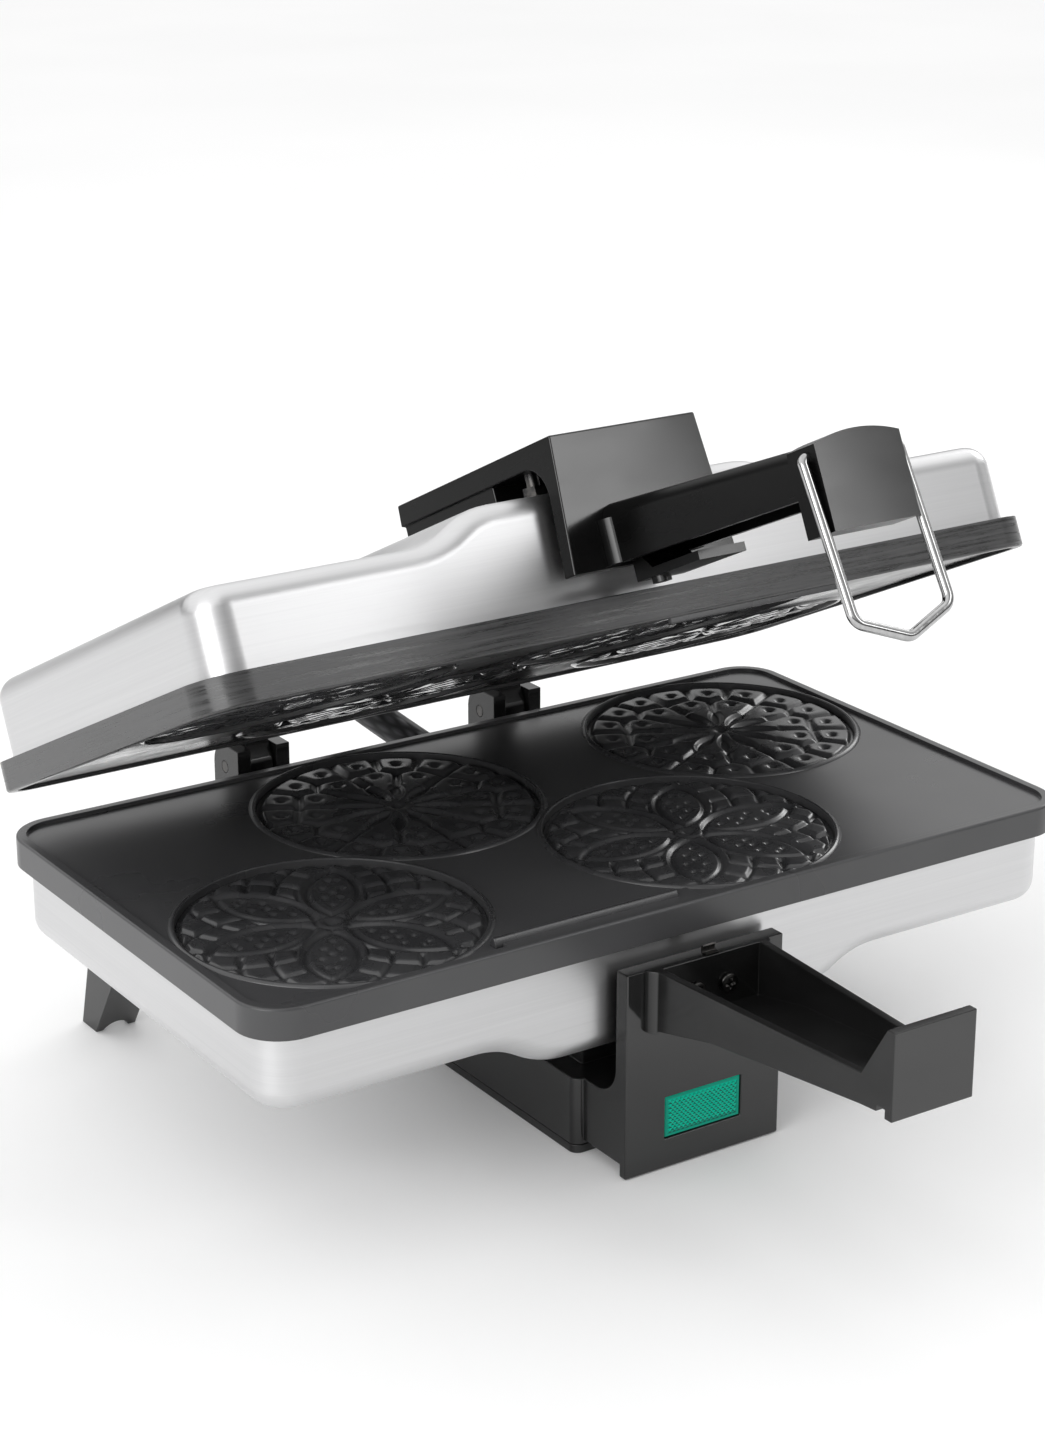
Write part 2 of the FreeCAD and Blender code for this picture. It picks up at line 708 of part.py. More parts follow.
def saddle(x, y, turned):
    """A bent strap over the element, with two feet on the plate."""
    reach = d.element_radius + d.seat_clearance
    top = web_back + 2 * reach
    across = reach + d.clip_gauge
    foot = across + d.clip_foot
    half = d.clip_width / 2

    def part(near, far, low, high):
        if turned:
            return box((x + near, y - half, low), (x + far, y + half, high))
        return box((x - half, y + near, low), (x + half, y + far, high))

    return fuse([
        part(-foot, -reach, web_back, web_back + d.clip_gauge),
        part(reach, foot, web_back, web_back + d.clip_gauge),
        part(-across, -reach, web_back, top + d.clip_gauge),
        part(reach, across, web_back, top + d.clip_gauge),
        part(-across, across, top, top + d.clip_gauge),
    ])


def make_clips(label, frame):
    straps = [saddle(side * d.element_half_x, 0, True) for side in (-1, 1)]
    straps += [saddle(side * d.boss_x / 2, d.element_half_y, False) for side in (-1, 1)]
    straps += [saddle(side * d.boss_x / 2, -d.element_half_y, False) for side in (-1, 1)]
    keep(group(label, straps), frame)


def make_reflector(label, frame):
    """A sheet that keeps the heat off the shell, screwed to the plate's bosses."""
    body = new_body(label)
    half_x = shell_half_x - d.reflector_margin
    half_y = shell_half_y - d.reflector_margin
    sheet = draw(new_sketch(body, "XY", boss_end), rounded(half_x, half_y, d.shell_corner))
    for x in (-d.boss_x, d.boss_x):
        for y in (-d.boss_y, d.boss_y):
            draw_circle(sheet, x, y, d.screw_radius + d.screw_play)
    pad(body, sheet, d.reflector_gauge)
    keep(body, frame)


def make_plate_screws(label, frame):
    """Screws through the heat shield into the bosses."""
    screws = []
    head = boss_end + d.reflector_gauge
    for x in (-d.boss_x, d.boss_x):
        for y in (-d.boss_y, d.boss_y):
            shank = d.boss_height - d.screw_head_height
            screws.append(fuse([
                rod((x, y, head), d.screw_head, d.screw_head_height, "z"),
                rod((x, y, head - shank), d.screw_radius, shank, "z"),
            ]))
    keep(group(label, screws), frame)


def make_thermostat():
    body = new_body("thermostat")
    cap = new_sketch(body, "XY", web_back)
    draw_circle(cap, 0, 0, d.thermostat_radius)
    pad(body, cap, d.thermostat_cap)
    core = new_sketch(body, "XY", web_back)
    draw_circle(core, 0, 0, d.thermostat_core)
    pad(body, core, d.thermostat_height)
    keep(body, "base")


# Lower mouldings

def make_lower_housing():
    """Wiring box, neck and upright front panel in one moulding, hollow from below and behind."""
    body = new_body("lower_housing")
    wall = d.plastic_wall
    floor = d.cover_thick
    pad(
        body,
        draw(new_sketch(body, "XY", floor), rectangle(-d.box_half, d.box_half, -d.box_front, d.box_back)),
        d.box_height - floor,
    )
    fillet(body, d.box_corner, lambda edge: runs_along(edge, 2))

    flange_back = d.panel_flange - panel_face
    panel_back = d.panel_thick - panel_face
    arch_foot = flange_back + d.arch_radius
    inside = wall - d.box_front
    side_view = draw(new_sketch(body, "YZ"), [
        (inside, d.neck_rise), (panel_back, d.neck_rise), (panel_back, d.panel_foot),
        (-panel_face, d.panel_foot), (-panel_face, panel_top), (flange_back, panel_top),
        (flange_back, d.box_height + d.arch_radius), (arch_foot, d.box_height, d.arch_radius),
        (inside, d.box_height),
    ])
    pad(body, side_view, d.panel_half * 2, symmetric=True)

    plinth_half = d.box_half - d.plinth_inset
    plinth = draw(new_sketch(body, "XY", d.box_height - wall), rectangle(
        -plinth_half, plinth_half, d.plinth_inset - d.box_front, d.box_back - d.plinth_inset,
    ))
    pad(body, plinth, d.rim_height - plateau - d.box_height + wall)

    room = draw(new_sketch(body, "XY", floor), rectangle(
        wall - d.box_half, d.box_half - wall, wall - d.box_front, d.box_back - wall,
    ))
    pocket(body, room, d.box_height - wall - floor, reverse=True)
    neck = draw(new_sketch(body, "XY", neck_floor), rectangle(
        wall - d.panel_half, d.panel_half - wall, panel_back, 2 * wall - d.box_front,
    ))
    pocket(body, neck, d.box_height - wall - neck_floor, reverse=True)
    behind_panel = draw(new_sketch(body, "XY", neck_floor), rectangle(
        wall - d.panel_half, d.panel_half - wall, panel_back, flange_back,
    ))
    pocket(body, behind_panel, panel_top - wall - neck_floor, reverse=True)

    window = new_sketch(body, "XZ")
    draw(window, rectangle(
        -d.window_width / 2, d.window_width / 2,
        window_z - d.window_height / 2, window_z + d.window_height / 2,
    ))
    pocket(body, window, panel_face + wall, reverse=True)
    gland = new_sketch(body, "XZ")
    draw_circle(gland, 0, d.gland_z, d.gland_neck + d.seat_clearance)
    pocket(body, gland, d.box_back + wall)
    screws = new_sketch(body, "XZ")
    for x in handle_screw_places():
        draw_circle(screws, x, handle_screw_height(), d.screw_radius + d.screw_play)
    pocket(body, screws, panel_face + wall, reverse=True)
    keep(body)


def handle_screw_places():
    spread = (d.handle_half - d.handle_wall) / 2
    return (-spread, spread)


def handle_screw_height():
    return (handle_root_top + handle_root_foot) / 2


def make_cover():
    body = new_body("lower_housing_cover")
    plan = rectangle(-d.box_half, d.box_half, -d.box_front, d.box_back)
    pad(body, draw(new_sketch(body, "XY"), plan), d.cover_thick)
    fillet(body, d.box_corner, lambda edge: runs_along(edge, 2))
    keep(body)


def make_lens():
    """A rectangular lens with a rim behind the window."""
    half_x = d.window_width / 2 - d.lens_play
    half_z = d.window_height / 2 - d.lens_play
    front = d.lens_recess - panel_face
    back = d.panel_thick - panel_face
    rim_x = d.window_width / 2 + d.lens_flange
    rim_z = d.window_height / 2 + d.lens_flange
    z = window_z
    keep(fuse([
        box((-half_x, front, z - half_z), (half_x, back + d.lens_flange_thick, z + half_z)),
        box((-rim_x, back, z - rim_z), (rim_x, back + d.lens_flange_thick, z + rim_z)),
    ], "indicator_lens"))

    retainer_front = back + d.lens_flange_thick
    retainer_thick = d.panel_flange - d.panel_thick - d.lens_flange_thick - d.seat_clearance
    edge_x = rim_x + d.retainer_margin
    edge_z = rim_z + d.lens_seat_gap - d.seat_clearance
    plate = box(
        (-edge_x, retainer_front, z - edge_z),
        (edge_x, retainer_front + retainer_thick, z + edge_z),
    )
    hole = rod((0, retainer_front, z), d.lamp_radius + d.seat_clearance, retainer_thick, "y")
    keep(cut("lamp_retainer", plate, hole))

    lamp = fuse([
        rod((0, retainer_front + d.seat_clearance, z), d.lamp_radius, d.lamp_length, "y"),
        rod((0, retainer_front + d.lamp_length, z), d.lamp_radius / 2, d.lamp_radius, "y"),
    ], "neon_lamp")
    keep(lamp)


def make_terminal_block():
    top = d.box_height - d.plastic_wall
    half = d.block_length / 2
    front = d.box_back - d.box_front
    base = box((-half, front, top - d.block_height), (half, front + d.block_depth, top))
    holes = [
        rod((place * half / 2, front, top - d.block_height / 2), d.screw_radius, d.block_depth, "y")
        for place in (-1, 0, 1)
    ]
    keep(cut("terminal_block", base, fuse(holes)))


def make_gland():
    """A bush in the wiring box's back wall; no cord is fitted."""
    wall_face = d.box_back - d.plastic_wall
    length = d.plastic_wall + d.gland_collar
    solid = fuse([
        rod((0, wall_face, d.gland_z), d.gland_neck, length, "y"),
        rod((0, d.box_back, d.gland_z), d.gland_radius, d.gland_collar, "y"),
    ])
    keep(cut("cord_gland", solid, rod((0, wall_face, d.gland_z), d.gland_bore, length, "y")))


def flare_plan(root, half):
    """Plan of a handle's root: from the panel in to the handle's sides, in two hollow curves."""
    neck = root - d.flare_length
    edge = half + d.flare_width
    bow = (d.flare_width * d.flare_width + d.flare_length * d.flare_length) / (2 * d.flare_width)
    return [(-edge, root), (-half, neck, bow), (half, neck), (edge, root, bow)]


def narrow(body, inset):
    """Trim the lower handle's sides so that they close in from the flare to the tip."""
    neck = -panel_face - d.flare_length
    tip = -panel_face - d.handle_tip_reach
    beyond = -panel_face - d.handle_length - d.handle_wall
    root_half = d.handle_root_half - inset
    tip_half = d.handle_half - inset
    outside = d.handle_root_half + d.handle_wall
    sides = new_sketch(body, "XY")
    for side in (-1, 1):
        draw(sides, [
            (side * root_half, neck), (side * tip_half, tip), (side * tip_half, beyond),
            (side * outside, beyond), (side * outside, neck),
        ])
    pocket(body, sides, reverse=True)


def make_lower_handle():
    """An open-topped channel that narrows and rises to an upright end, with a flared root on the panel."""
    body = new_body("lower_handle_outside")
    root = -panel_face
    end = root - d.handle_length
    bend = root - d.handle_bend_reach
    tip = root - d.handle_tip_reach
    notch_back = end + d.handle_end_thick
    notch_front = notch_back + d.notch_width
    end_top = d.rim_height + d.handle_end_rise
    end_foot = d.rim_height - d.handle_end_drop
    bend_foot = d.rim_height - d.handle_bend_drop
    tip_top = d.rim_height - d.handle_tip_drop
    tip_foot = tip_top - d.handle_tip_height
    side_view = draw(new_sketch(body, "YZ"), [
        (root, handle_root_foot), (root, handle_root_top),
        (tip, tip_top), (notch_back, end_top), (end, end_top),
        (end, end_foot), (notch_back, end_foot),
        (notch_back, tip_foot + d.notch_depth), (notch_front, tip_foot + d.notch_depth),
        (notch_front, tip_foot), (bend, bend_foot),
    ])
    pad(body, side_view, d.handle_root_half * 2, symmetric=True)
    narrow(body, 0)
    flare = draw(new_sketch(body, "XY", handle_root_foot), flare_plan(root, d.handle_root_half))
    pad(body, flare, handle_root_top - handle_root_foot)
    wall = d.handle_wall
    screws = new_sketch(body, "XZ")
    for x in handle_screw_places():
        draw_circle(screws, x, handle_screw_height(), d.screw_radius + d.screw_play)
    pocket(body, screws, panel_face + 2 * wall, reverse=True)

    room = new_body("lower_handle_inside")
    channel = draw(new_sketch(room, "YZ"), [
        (root - wall, handle_root_foot + wall), (bend, bend_foot + wall),
        (notch_front - wall, tip_foot + wall + d.notch_depth),
        (notch_back + wall, tip_foot + wall + d.notch_depth),
        (notch_back, end_top), (notch_back, end_top + wall),
        (root - wall, end_top + wall),
    ])
    pad(room, channel, (d.handle_root_half - wall) * 2, symmetric=True)
    narrow(room, wall)
    keep(cut("lower_handle", body, room))


def make_lower_handle_screws():
    start = -panel_face - d.handle_wall - d.screw_head_height
    length = d.handle_wall + d.panel_thick + d.screw_radius
    screws = [screw((x, start, handle_screw_height()), "y", length) for x in handle_screw_places()]
    keep(group("lower_handle_screws", screws))


def make_legs():
    """Raked rear legs under the shell, open at the back, with an arched foot."""
    top = d.rim_height - shell_end
    top_front = shell_half_y - d.leg_top_lap
    top_back = top_front + d.leg_top_depth
    foot_front = shell_half_y + d.leg_foot_stand
    foot_back = foot_front + d.leg_foot_depth
    for name, side in (("left", -1), ("right", 1)):
        body = new_body(f"rear_leg_{name}")
        middle = side * (shell_half_x - d.leg_inset - d.leg_width / 2)
        outline = draw(new_sketch(body, "YZ", middle), [
            (top_front, top), (foot_front, 0), (foot_back, 0), (top_back, top),
        ])
        pad(body, outline, d.leg_width, symmetric=True)
        wall = d.leg_wall
        hollow = draw(new_sketch(body, "YZ", middle), [
            (top_front + 2 * wall, top - wall), (foot_front + wall, 0),
            (foot_back + wall, 0), (top_back + wall, top - wall),
        ])
        pocket(body, hollow, d.leg_width - 2 * wall, symmetric=True)
        half = d.leg_width / 2 - wall
        arch_radius = (half * half + d.leg_arch * d.leg_arch) / (2 * d.leg_arch)
        arch = draw(new_sketch(body, "XZ"), [
            (middle - half, 0, arch_radius), (middle + half, 0), (middle, d.leg_arch, arch_radius),
        ])
        pocket(body, arch, foot_back + wall)
        keep(body)


# Upper mouldings

def make_upper_housing():
    """A saddle over the lid's middle: top box, arched sides and a front panel that narrows upwards."""
    body = new_body("upper_housing")
    face = -panel_face
    flange_back = face + d.upper_flange
    arch_end = flange_back + d.upper_arch
    side_view = draw(new_sketch(body, "YZ"), [
        (face, d.upper_panel_foot), (flange_back, d.upper_panel_foot),
        (flange_back, d.upper_band - d.upper_arch), (arch_end, d.upper_band, -d.upper_arch),
        (d.upper_back, d.upper_band), (d.upper_back, d.upper_top), (face, d.upper_top),
    ])
    pad(body, side_view, d.upper_half_foot * 2, symmetric=True)
    edge = d.upper_half_foot + d.plastic_wall
    slope = new_sketch(body, "XZ")
    for side in (-1, 1):
        draw(slope, [
            (side * d.upper_half_foot, d.upper_panel_foot), (side * edge, d.upper_panel_foot),
            (side * edge, d.upper_top), (side * d.upper_half_top, d.upper_top),
        ])
    pocket(body, slope, panel_face * 4, symmetric=True)
    wall = d.plastic_wall
    back = draw(new_sketch(body, "XY", d.upper_panel_foot), rectangle(
        2 * wall - d.upper_half_foot, d.upper_half_foot - 2 * wall, face + d.panel_thick, flange_back,
    ))
    pocket(body, back, d.upper_band - wall - d.upper_panel_foot, reverse=True)
    plinth_half = d.upper_half_top - d.upper_plinth_inset
    plinth = draw(new_sketch(body, "XY", plateau), rectangle(
        -plinth_half, plinth_half, -d.upper_plinth_front, d.upper_back - d.upper_plinth_inset,
    ))
    pad(body, plinth, d.upper_top - wall - plateau)
    screws = new_sketch(body, "XZ")
    for x in handle_screw_places():
        draw_circle(screws, x, upper_screw_depth(), d.screw_radius + d.screw_play)
    pocket(body, screws, panel_face + wall, reverse=True)
    keep(body, "lid")


def upper_screw_depth():
    return (d.upper_handle_foot + d.upper_handle_root_top) / 2


def make_upper_handle():
    """A channel that opens downwards, with a flared root and a solid end block for the latch wire."""
    body = new_body("upper_handle")
    root = -panel_face
    end = root - d.upper_handle_length
    block = end + d.upper_handle_block
    half = d.handle_half
    wall = d.handle_wall
    side_view = draw(new_sketch(body, "YZ"), [
        (root, d.upper_handle_foot), (root, d.upper_handle_root_top),
        (end, d.upper_handle_tip_top), (end, d.upper_block_foot), (block, d.upper_block_foot),
        (block, d.upper_handle_tip_foot),
    ])
    pad(body, side_view, half * 2, symmetric=True)

    def on_top(edge):
        centre = edge.CenterOfMass
        lengthwise = edge.Length > d.upper_handle_length.number - DRAWING_SLACK
        return lengthwise and centre.z > d.upper_handle_tip_top.number

    fillet(body, d.handle_round, on_top)
    crown_low = d.upper_handle_tip_top - d.handle_round
    crown_radius = (half * half + d.block_crown * d.block_crown) / (2 * d.block_crown)
    crown = draw(new_sketch(body, "XZ", -end), [
        (-half, crown_low), (half, crown_low), (half, d.upper_handle_tip_top),
        (-half, d.upper_handle_tip_top, crown_radius),
    ])
    pad(body, crown, d.upper_handle_block, reverse=True)

    flare = draw(new_sketch(body, "XY", d.upper_handle_foot), flare_plan(root, half))
    pad(body, flare, d.upper_flare_top - d.upper_handle_foot)

    rise = d.upper_handle_root_top - d.upper_handle_tip_top
    slope = rise / d.upper_handle_length
    channel = draw(new_sketch(body, "YZ"), [
        (root - wall, 0), (root - wall, d.upper_handle_root_top - wall - slope * wall),
        (block + wall, d.upper_handle_tip_top - wall + slope * d.upper_handle_block), (block + wall, 0),
    ])
    pocket(body, channel, (half - wall) * 2, symmetric=True)

    tongue_top = d.tongue_low + d.tongue_thick
    tongue = draw(new_sketch(body, "YZ"), [
        (root, d.tongue_low), (root - d.tongue_reach, d.tongue_low), (root - d.tongue_reach, tongue_top),
        (root - d.tongue_root, tongue_top), (root - wall, d.upper_handle_foot + wall),
        (root, d.upper_handle_foot + wall),
    ])
    pad(body, tongue, d.tongue_half * 2, symmetric=True)
    boss = new_sketch(body, "XY", d.tongue_low)
    draw_circle(boss, -d.tongue_boss_side, root - d.tongue_boss_reach, d.tongue_boss_radius)
    pad(body, boss, d.tongue_boss_drop, reverse=True)

    pivot = new_sketch(body, "YZ")
    draw_circle(pivot, -bail_pivot_y, d.bail_pivot_depth, d.bail_radius + d.bail_play)
    pocket(body, pivot, half * 2, symmetric=True)
    screws = new_sketch(body, "XZ")
    for x in handle_screw_places():
        draw_circle(screws, x, upper_screw_depth(), d.screw_radius + d.screw_play)
    pocket(body, screws, panel_face + 2 * wall, reverse=True)
    keep(body, "lid")


def make_upper_handle_screws():
    start = -panel_face - d.handle_wall - d.screw_head_height
    length = d.handle_wall + d.panel_thick
    screws = [screw((x, start, upper_screw_depth()), "y", length) for x in handle_screw_places()]
    keep(group("upper_handle_screws", screws), "lid")


def make_latch():
    """A bent wire bail that hangs from the upper handle's block."""
    body = new_body("latch_bail")
    half = bail_half
    inner = d.handle_half - d.bail_seat
    bend = d.bail_bend
    drop = -d.bail_leg
    slope = root(half * half + d.bail_point * d.bail_point)
    corner = bend * root((slope - d.bail_point) / (slope + d.bail_point))
    point = bend * d.bail_point / half
    run = half / slope
    fall = d.bail_point / slope
    tip = drop - d.bail_point
    top = d.bail_top_bend
    path = draw(new_sketch(body, "XZ"), [
        (-inner, 0), (top - half, 0), (-half, -top, top), (-half, drop + corner),
        (corner * run - half, drop - corner * fall, bend), (-point * run, tip + point * fall),
        (point * run, tip + point * fall, bend), (half - corner * run, drop - corner * fall),
        (half, drop + corner, bend), (half, -top), (half - top, 0, top), (inner, 0),
    ], closed=False)
    ring = new_sketch(body, "YZ", -inner)
    draw_circle(ring, 0, 0, d.bail_radius)
    pipe = body.newObject("PartDesign::AdditivePipe", "pipe")
    pipe.Profile = ring
    pipe.Spine = path
    doc.recompute()
    angle = d.lid_open + d.bail_tilt
    body.Placement = Placement(Vector(), Rotation(Vector(-1, 0, 0), angle.number))
    tie(body, "Placement.Rotation.Angle", angle)
    tie_base(body, 0, *lid_point(-bail_pivot_y, d.bail_pivot_depth))
    nodes.append(body)


# Hinges

def make_hinges():
    """Forked towers on the base, tongues on the lid, and a plain pin through each pair."""
    reach = shell_half_y
    barrel = d.hinge_barrel
    pad_face = reach + d.hinge_pad
    slot = d.hinge_tongue / 2 + d.hinge_side_play
    hinge_front = half_depth + d.hinge_front_gap
    for name, side in (("left", -1), ("right", 1)):
        x = side * d.hinge_x
        tower = new_body(f"hinge_tower_{name}")
        low = d.rim_height - d.hinge_pad_high
        high = d.rim_height - d.hinge_pad_low
        back = hinge_y + barrel
        profile = draw(new_sketch(tower, "YZ", x), [
            (reach, low), (pad_face + d.hinge_foot, low), (back, high),
            (back, hinge_z), (hinge_y, hinge_z + barrel, barrel),
            (hinge_front, hinge_z + barrel), (hinge_front, high), (reach, high),
        ])
        pad(tower, profile, d.hinge_width, symmetric=True)
        fork = draw(new_sketch(tower, "YZ", x), rectangle(
            hinge_front - barrel, back + barrel,
            hinge_z - barrel - d.hinge_side_play, hinge_z + 2 * barrel,
        ))
        pocket(tower, fork, slot * 2, symmetric=True)
        bore = new_sketch(tower, "YZ", x)
        draw_circle(bore, hinge_y, hinge_z, d.hinge_pin_radius + d.hinge_pin_play)
        pocket(tower, bore, d.hinge_width, symmetric=True)
        bracket_screw_hole(tower, x, d.rim_height - (d.hinge_pad_low + d.hinge_pad_high) / 2)
        keep(tower)

        tongue = new_body(f"hinge_tongue_{name}")
        depth = hinge_z - lid_rim
        pad_profile = draw(new_sketch(tongue, "YZ", x), rectangle(
            reach, pad_face, d.hinge_pad_low, d.hinge_pad_high,
        ))
        pad(tongue, pad_profile, d.hinge_width, symmetric=True)
        arm = draw(new_sketch(tongue, "YZ", x), [
            (reach, d.hinge_pad_low), (hinge_y - barrel, d.hinge_pad_low), (hinge_y - barrel, depth),
            (hinge_y, depth - barrel, barrel), (hinge_y + barrel, depth, barrel),
            (hinge_y, d.hinge_pad_high), (reach, d.hinge_pad_high),
        ])
        pad(tongue, arm, d.hinge_tongue, symmetric=True)
        hole = new_sketch(tongue, "YZ", x)
        draw_circle(hole, hinge_y, depth, d.hinge_pin_radius + d.hinge_pin_play)
        pocket(tongue, hole, d.hinge_width, symmetric=True)
        bracket_screw_hole(tongue, x, (d.hinge_pad_low + d.hinge_pad_high) / 2)
        keep(tongue, "lid")

        pin = rod((x - d.hinge_width / 2, hinge_y, hinge_z), d.hinge_pin_radius, d.hinge_width, "x")
        pin.Label = f"hinge_pin_{name}"
        keep(pin)


def bracket_screw_hole(body, x, height):
    sketch = new_sketch(body, "XZ", -shell_half_y)
    draw_circle(sketch, x, height, d.screw_radius + d.screw_play)
    pocket(body, sketch, d.hinge_pad + d.screw_play)


# Sleeved lead between the halves

def make_bush(label, frame, x):
    """A bush in a shell's back wall that holds the lead."""
    inside = shell_half_y - d.shell_gauge
    length = d.shell_gauge + d.bush_collar
    solid = fuse([
        rod((x, inside, d.lead_depth), d.bush_neck, length, "y"),
        rod((x, shell_half_y, d.lead_depth), d.bush_radius, d.bush_collar, "y"),
    ])
    bore = rod((x, inside, d.lead_depth), d.lead_radius + d.seat_clearance, length, "y")
    keep(cut(label, solid, bore), frame)


def lead_route():
    """From the lid's bush, back and across behind the plates, into the base's bush."""
    start_y, start_z = lid_point(shell_half_y, d.lead_depth)
    turn_y, turn_z = lid_point(shell_half_y + d.lead_run, d.lead_depth)
    base_z = d.rim_height - d.lead_depth
    lid_x = d.lead_lid_x.number
    base_x = d.lead_base_x.number
    return [
        Vector(lid_x, start_y.number, start_z.number),
        Vector(lid_x, turn_y.number, turn_z.number),
        Vector(base_x, turn_y.number, base_z.number),
        Vector(base_x, shell_half_y.number, base_z.number),
    ]


def make_lead():
    """Straight runs joined by arcs as wide as the runs allow, as one tube."""
    points = lead_route()
    edges = []
    here = points[0]
    for before, corner, after in zip(points, points[1:], points[2:]):
        back = (before - corner).normalize()
        on = (after - corner).normalize()
        half_turn = (math.pi - back.getAngle(on)) / 2
        step = BEND_SHARE * min((before - corner).Length, (after - corner).Length)
        bend = step / math.tan(half_turn)
        print(f"lead bend radius {bend:.1f} mm")
        first = corner + back * step
        last = corner + on * step
        bisector = (back + on).normalize()
        middle = corner + bisector * (bend / math.cos(half_turn) - bend)
        edges.append(Part.LineSegment(here, first).toShape())
        edges.append(Part.Arc(first, middle, last).toShape())
        here = last
    edges.append(Part.LineSegment(here, points[-1]).toShape())
    spine = Part.Wire(edges)
    start_way = (points[1] - points[0]).normalize()
    ring = Part.Wire([Part.makeCircle(d.lead_radius.number, points[0], start_way)])
    tube = spine.makePipeShell([ring], True, False)
    made = doc.addObject("Part::Feature", "jumper_lead")
    made.Label = "jumper_lead"
    made.Shape = tube
    made.Placement = Placement()
    keep(made)


def check_and_write():
    doc.recompute()
    for thing in doc.Objects:
        if "Invalid" in thing.State or "Error" in thing.State:
            raise RuntimeError(f"{thing.Label} failed: {thing.State}")
    os.makedirs("parts", exist_ok=True)
    for made in nodes:
        shape = made.Shape
        if shape.isNull() or not shape.isValid():
            raise RuntimeError(f"{made.Label} has no valid shape")
        shape.exportStep(f"parts/{made.Label}.step")


def main():
    make_plate("lower_plate", "base", -1)
    make_plate("upper_plate", "lid", 1)
    make_shell("base_shell", "base")
    make_shell("lid_shell", "lid")
    for half, frame in (("lower", "base"), ("upper", "lid")):
        make_element(f"{half}_element", frame)
        make_clips(f"{half}_element_clips", frame)
        make_reflector(f"{half}_reflector", frame)
        make_plate_screws(f"{half}_plate_screws", frame)
        make_hinge_screws(f"{half}_hinge_screws", frame)
    make_thermostat()
    make_lower_housing()
    make_cover()
    make_lens()
    make_terminal_block()
    make_gland()
    make_lower_handle()
    make_lower_handle_screws()
    make_legs()
    make_upper_housing()
    make_upper_handle()
    make_upper_handle_screws()
    make_latch()
    make_hinges()
    make_bush("lower_lead_bush", "base", -d.lead_base_x)
    make_bush("upper_lead_bush", "lid", d.lead_lid_x)
    make_lead()
    check_and_write()


main()
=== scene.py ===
import json
import math

import bmesh
import bpy
from mathutils import Euler, Matrix, Vector


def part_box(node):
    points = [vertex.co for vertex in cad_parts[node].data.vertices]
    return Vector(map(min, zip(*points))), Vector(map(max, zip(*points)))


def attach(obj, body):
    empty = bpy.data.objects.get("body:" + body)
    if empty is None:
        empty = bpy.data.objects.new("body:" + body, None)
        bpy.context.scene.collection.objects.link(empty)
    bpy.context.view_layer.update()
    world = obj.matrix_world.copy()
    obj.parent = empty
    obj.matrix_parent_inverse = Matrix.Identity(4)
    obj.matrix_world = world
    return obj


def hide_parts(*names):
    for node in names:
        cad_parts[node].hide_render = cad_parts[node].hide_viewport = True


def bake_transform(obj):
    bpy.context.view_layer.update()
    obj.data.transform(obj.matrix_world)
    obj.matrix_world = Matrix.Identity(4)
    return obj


# Electric wafer-cookie iron, half open on a pale floor.
# Metres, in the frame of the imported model. Values whose names end in _MM or _mm are millimetres.

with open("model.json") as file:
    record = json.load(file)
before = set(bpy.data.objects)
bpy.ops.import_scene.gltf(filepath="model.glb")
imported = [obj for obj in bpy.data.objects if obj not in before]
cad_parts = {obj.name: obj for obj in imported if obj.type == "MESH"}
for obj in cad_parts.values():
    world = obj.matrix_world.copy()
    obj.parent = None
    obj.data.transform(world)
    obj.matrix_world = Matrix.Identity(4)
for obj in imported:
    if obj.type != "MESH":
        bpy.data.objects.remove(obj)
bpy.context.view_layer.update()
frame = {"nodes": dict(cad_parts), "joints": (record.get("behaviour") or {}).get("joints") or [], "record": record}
NODES = frame["nodes"]
JOINTS = {joint["name"]: joint for joint in frame["joints"]}
MM = 0.001

# Camera, solved from the edges of the plates; degrees, and millimetres for the lens and the sensor
CAMERA_PLACE = (-0.4879, -0.7272, 0.4252)
CAMERA_YAW = 33.47
CAMERA_PITCH = 19.71
CAMERA_LENS = 76.2
SENSOR = 36.0
NEAREST_SEEN = 0.01

# The two halves: each is drawn with its rim plane at zero and depth growing away from the other half
BASE_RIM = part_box("lower_plate")[1].z
RIM_GAP = 2 * MM
HINGE = Vector(JOINTS["lid_hinge"]["pos_m"])
LID_OPEN = -math.radians(JOINTS["lid_hinge"]["range_deg"][0])
LID_TURN = Matrix.Translation(HINGE) @ Matrix.Rotation(LID_OPEN, 4, (-1, 0, 0)) @ Matrix.Translation(-HINGE)
LID_FRAME = LID_TURN @ Matrix.Translation((0, 0, BASE_RIM + RIM_GAP))
BASE_FRAME = Matrix.Translation((0, 0, BASE_RIM)) @ Matrix.Diagonal((1, 1, -1, 1))

# Moulds; the rim's section is given as radii and depths
MOULDS = 4
MOULD_PITCH_MM = 62.8
MOULD_STAGGER_MM = 33.6
MOULD_RADIUS_MM = 44.5
MOULD_FLOOR_MM = 3.19
GROOVE_FLOOR_MM = 3.05
RELIEF_MM = 1.5
MOULD_RINGS = 88
MOULD_STEPS = 400
RIM_MM = [(44.75, 1.3), (44.75, 0.75), (44.95, 0.5), (45.25, 0.42), (45.5, 0.5), (46.6, 1.22), (46.6, 1.3)]
RIM_STEPS = 160


# Node materials

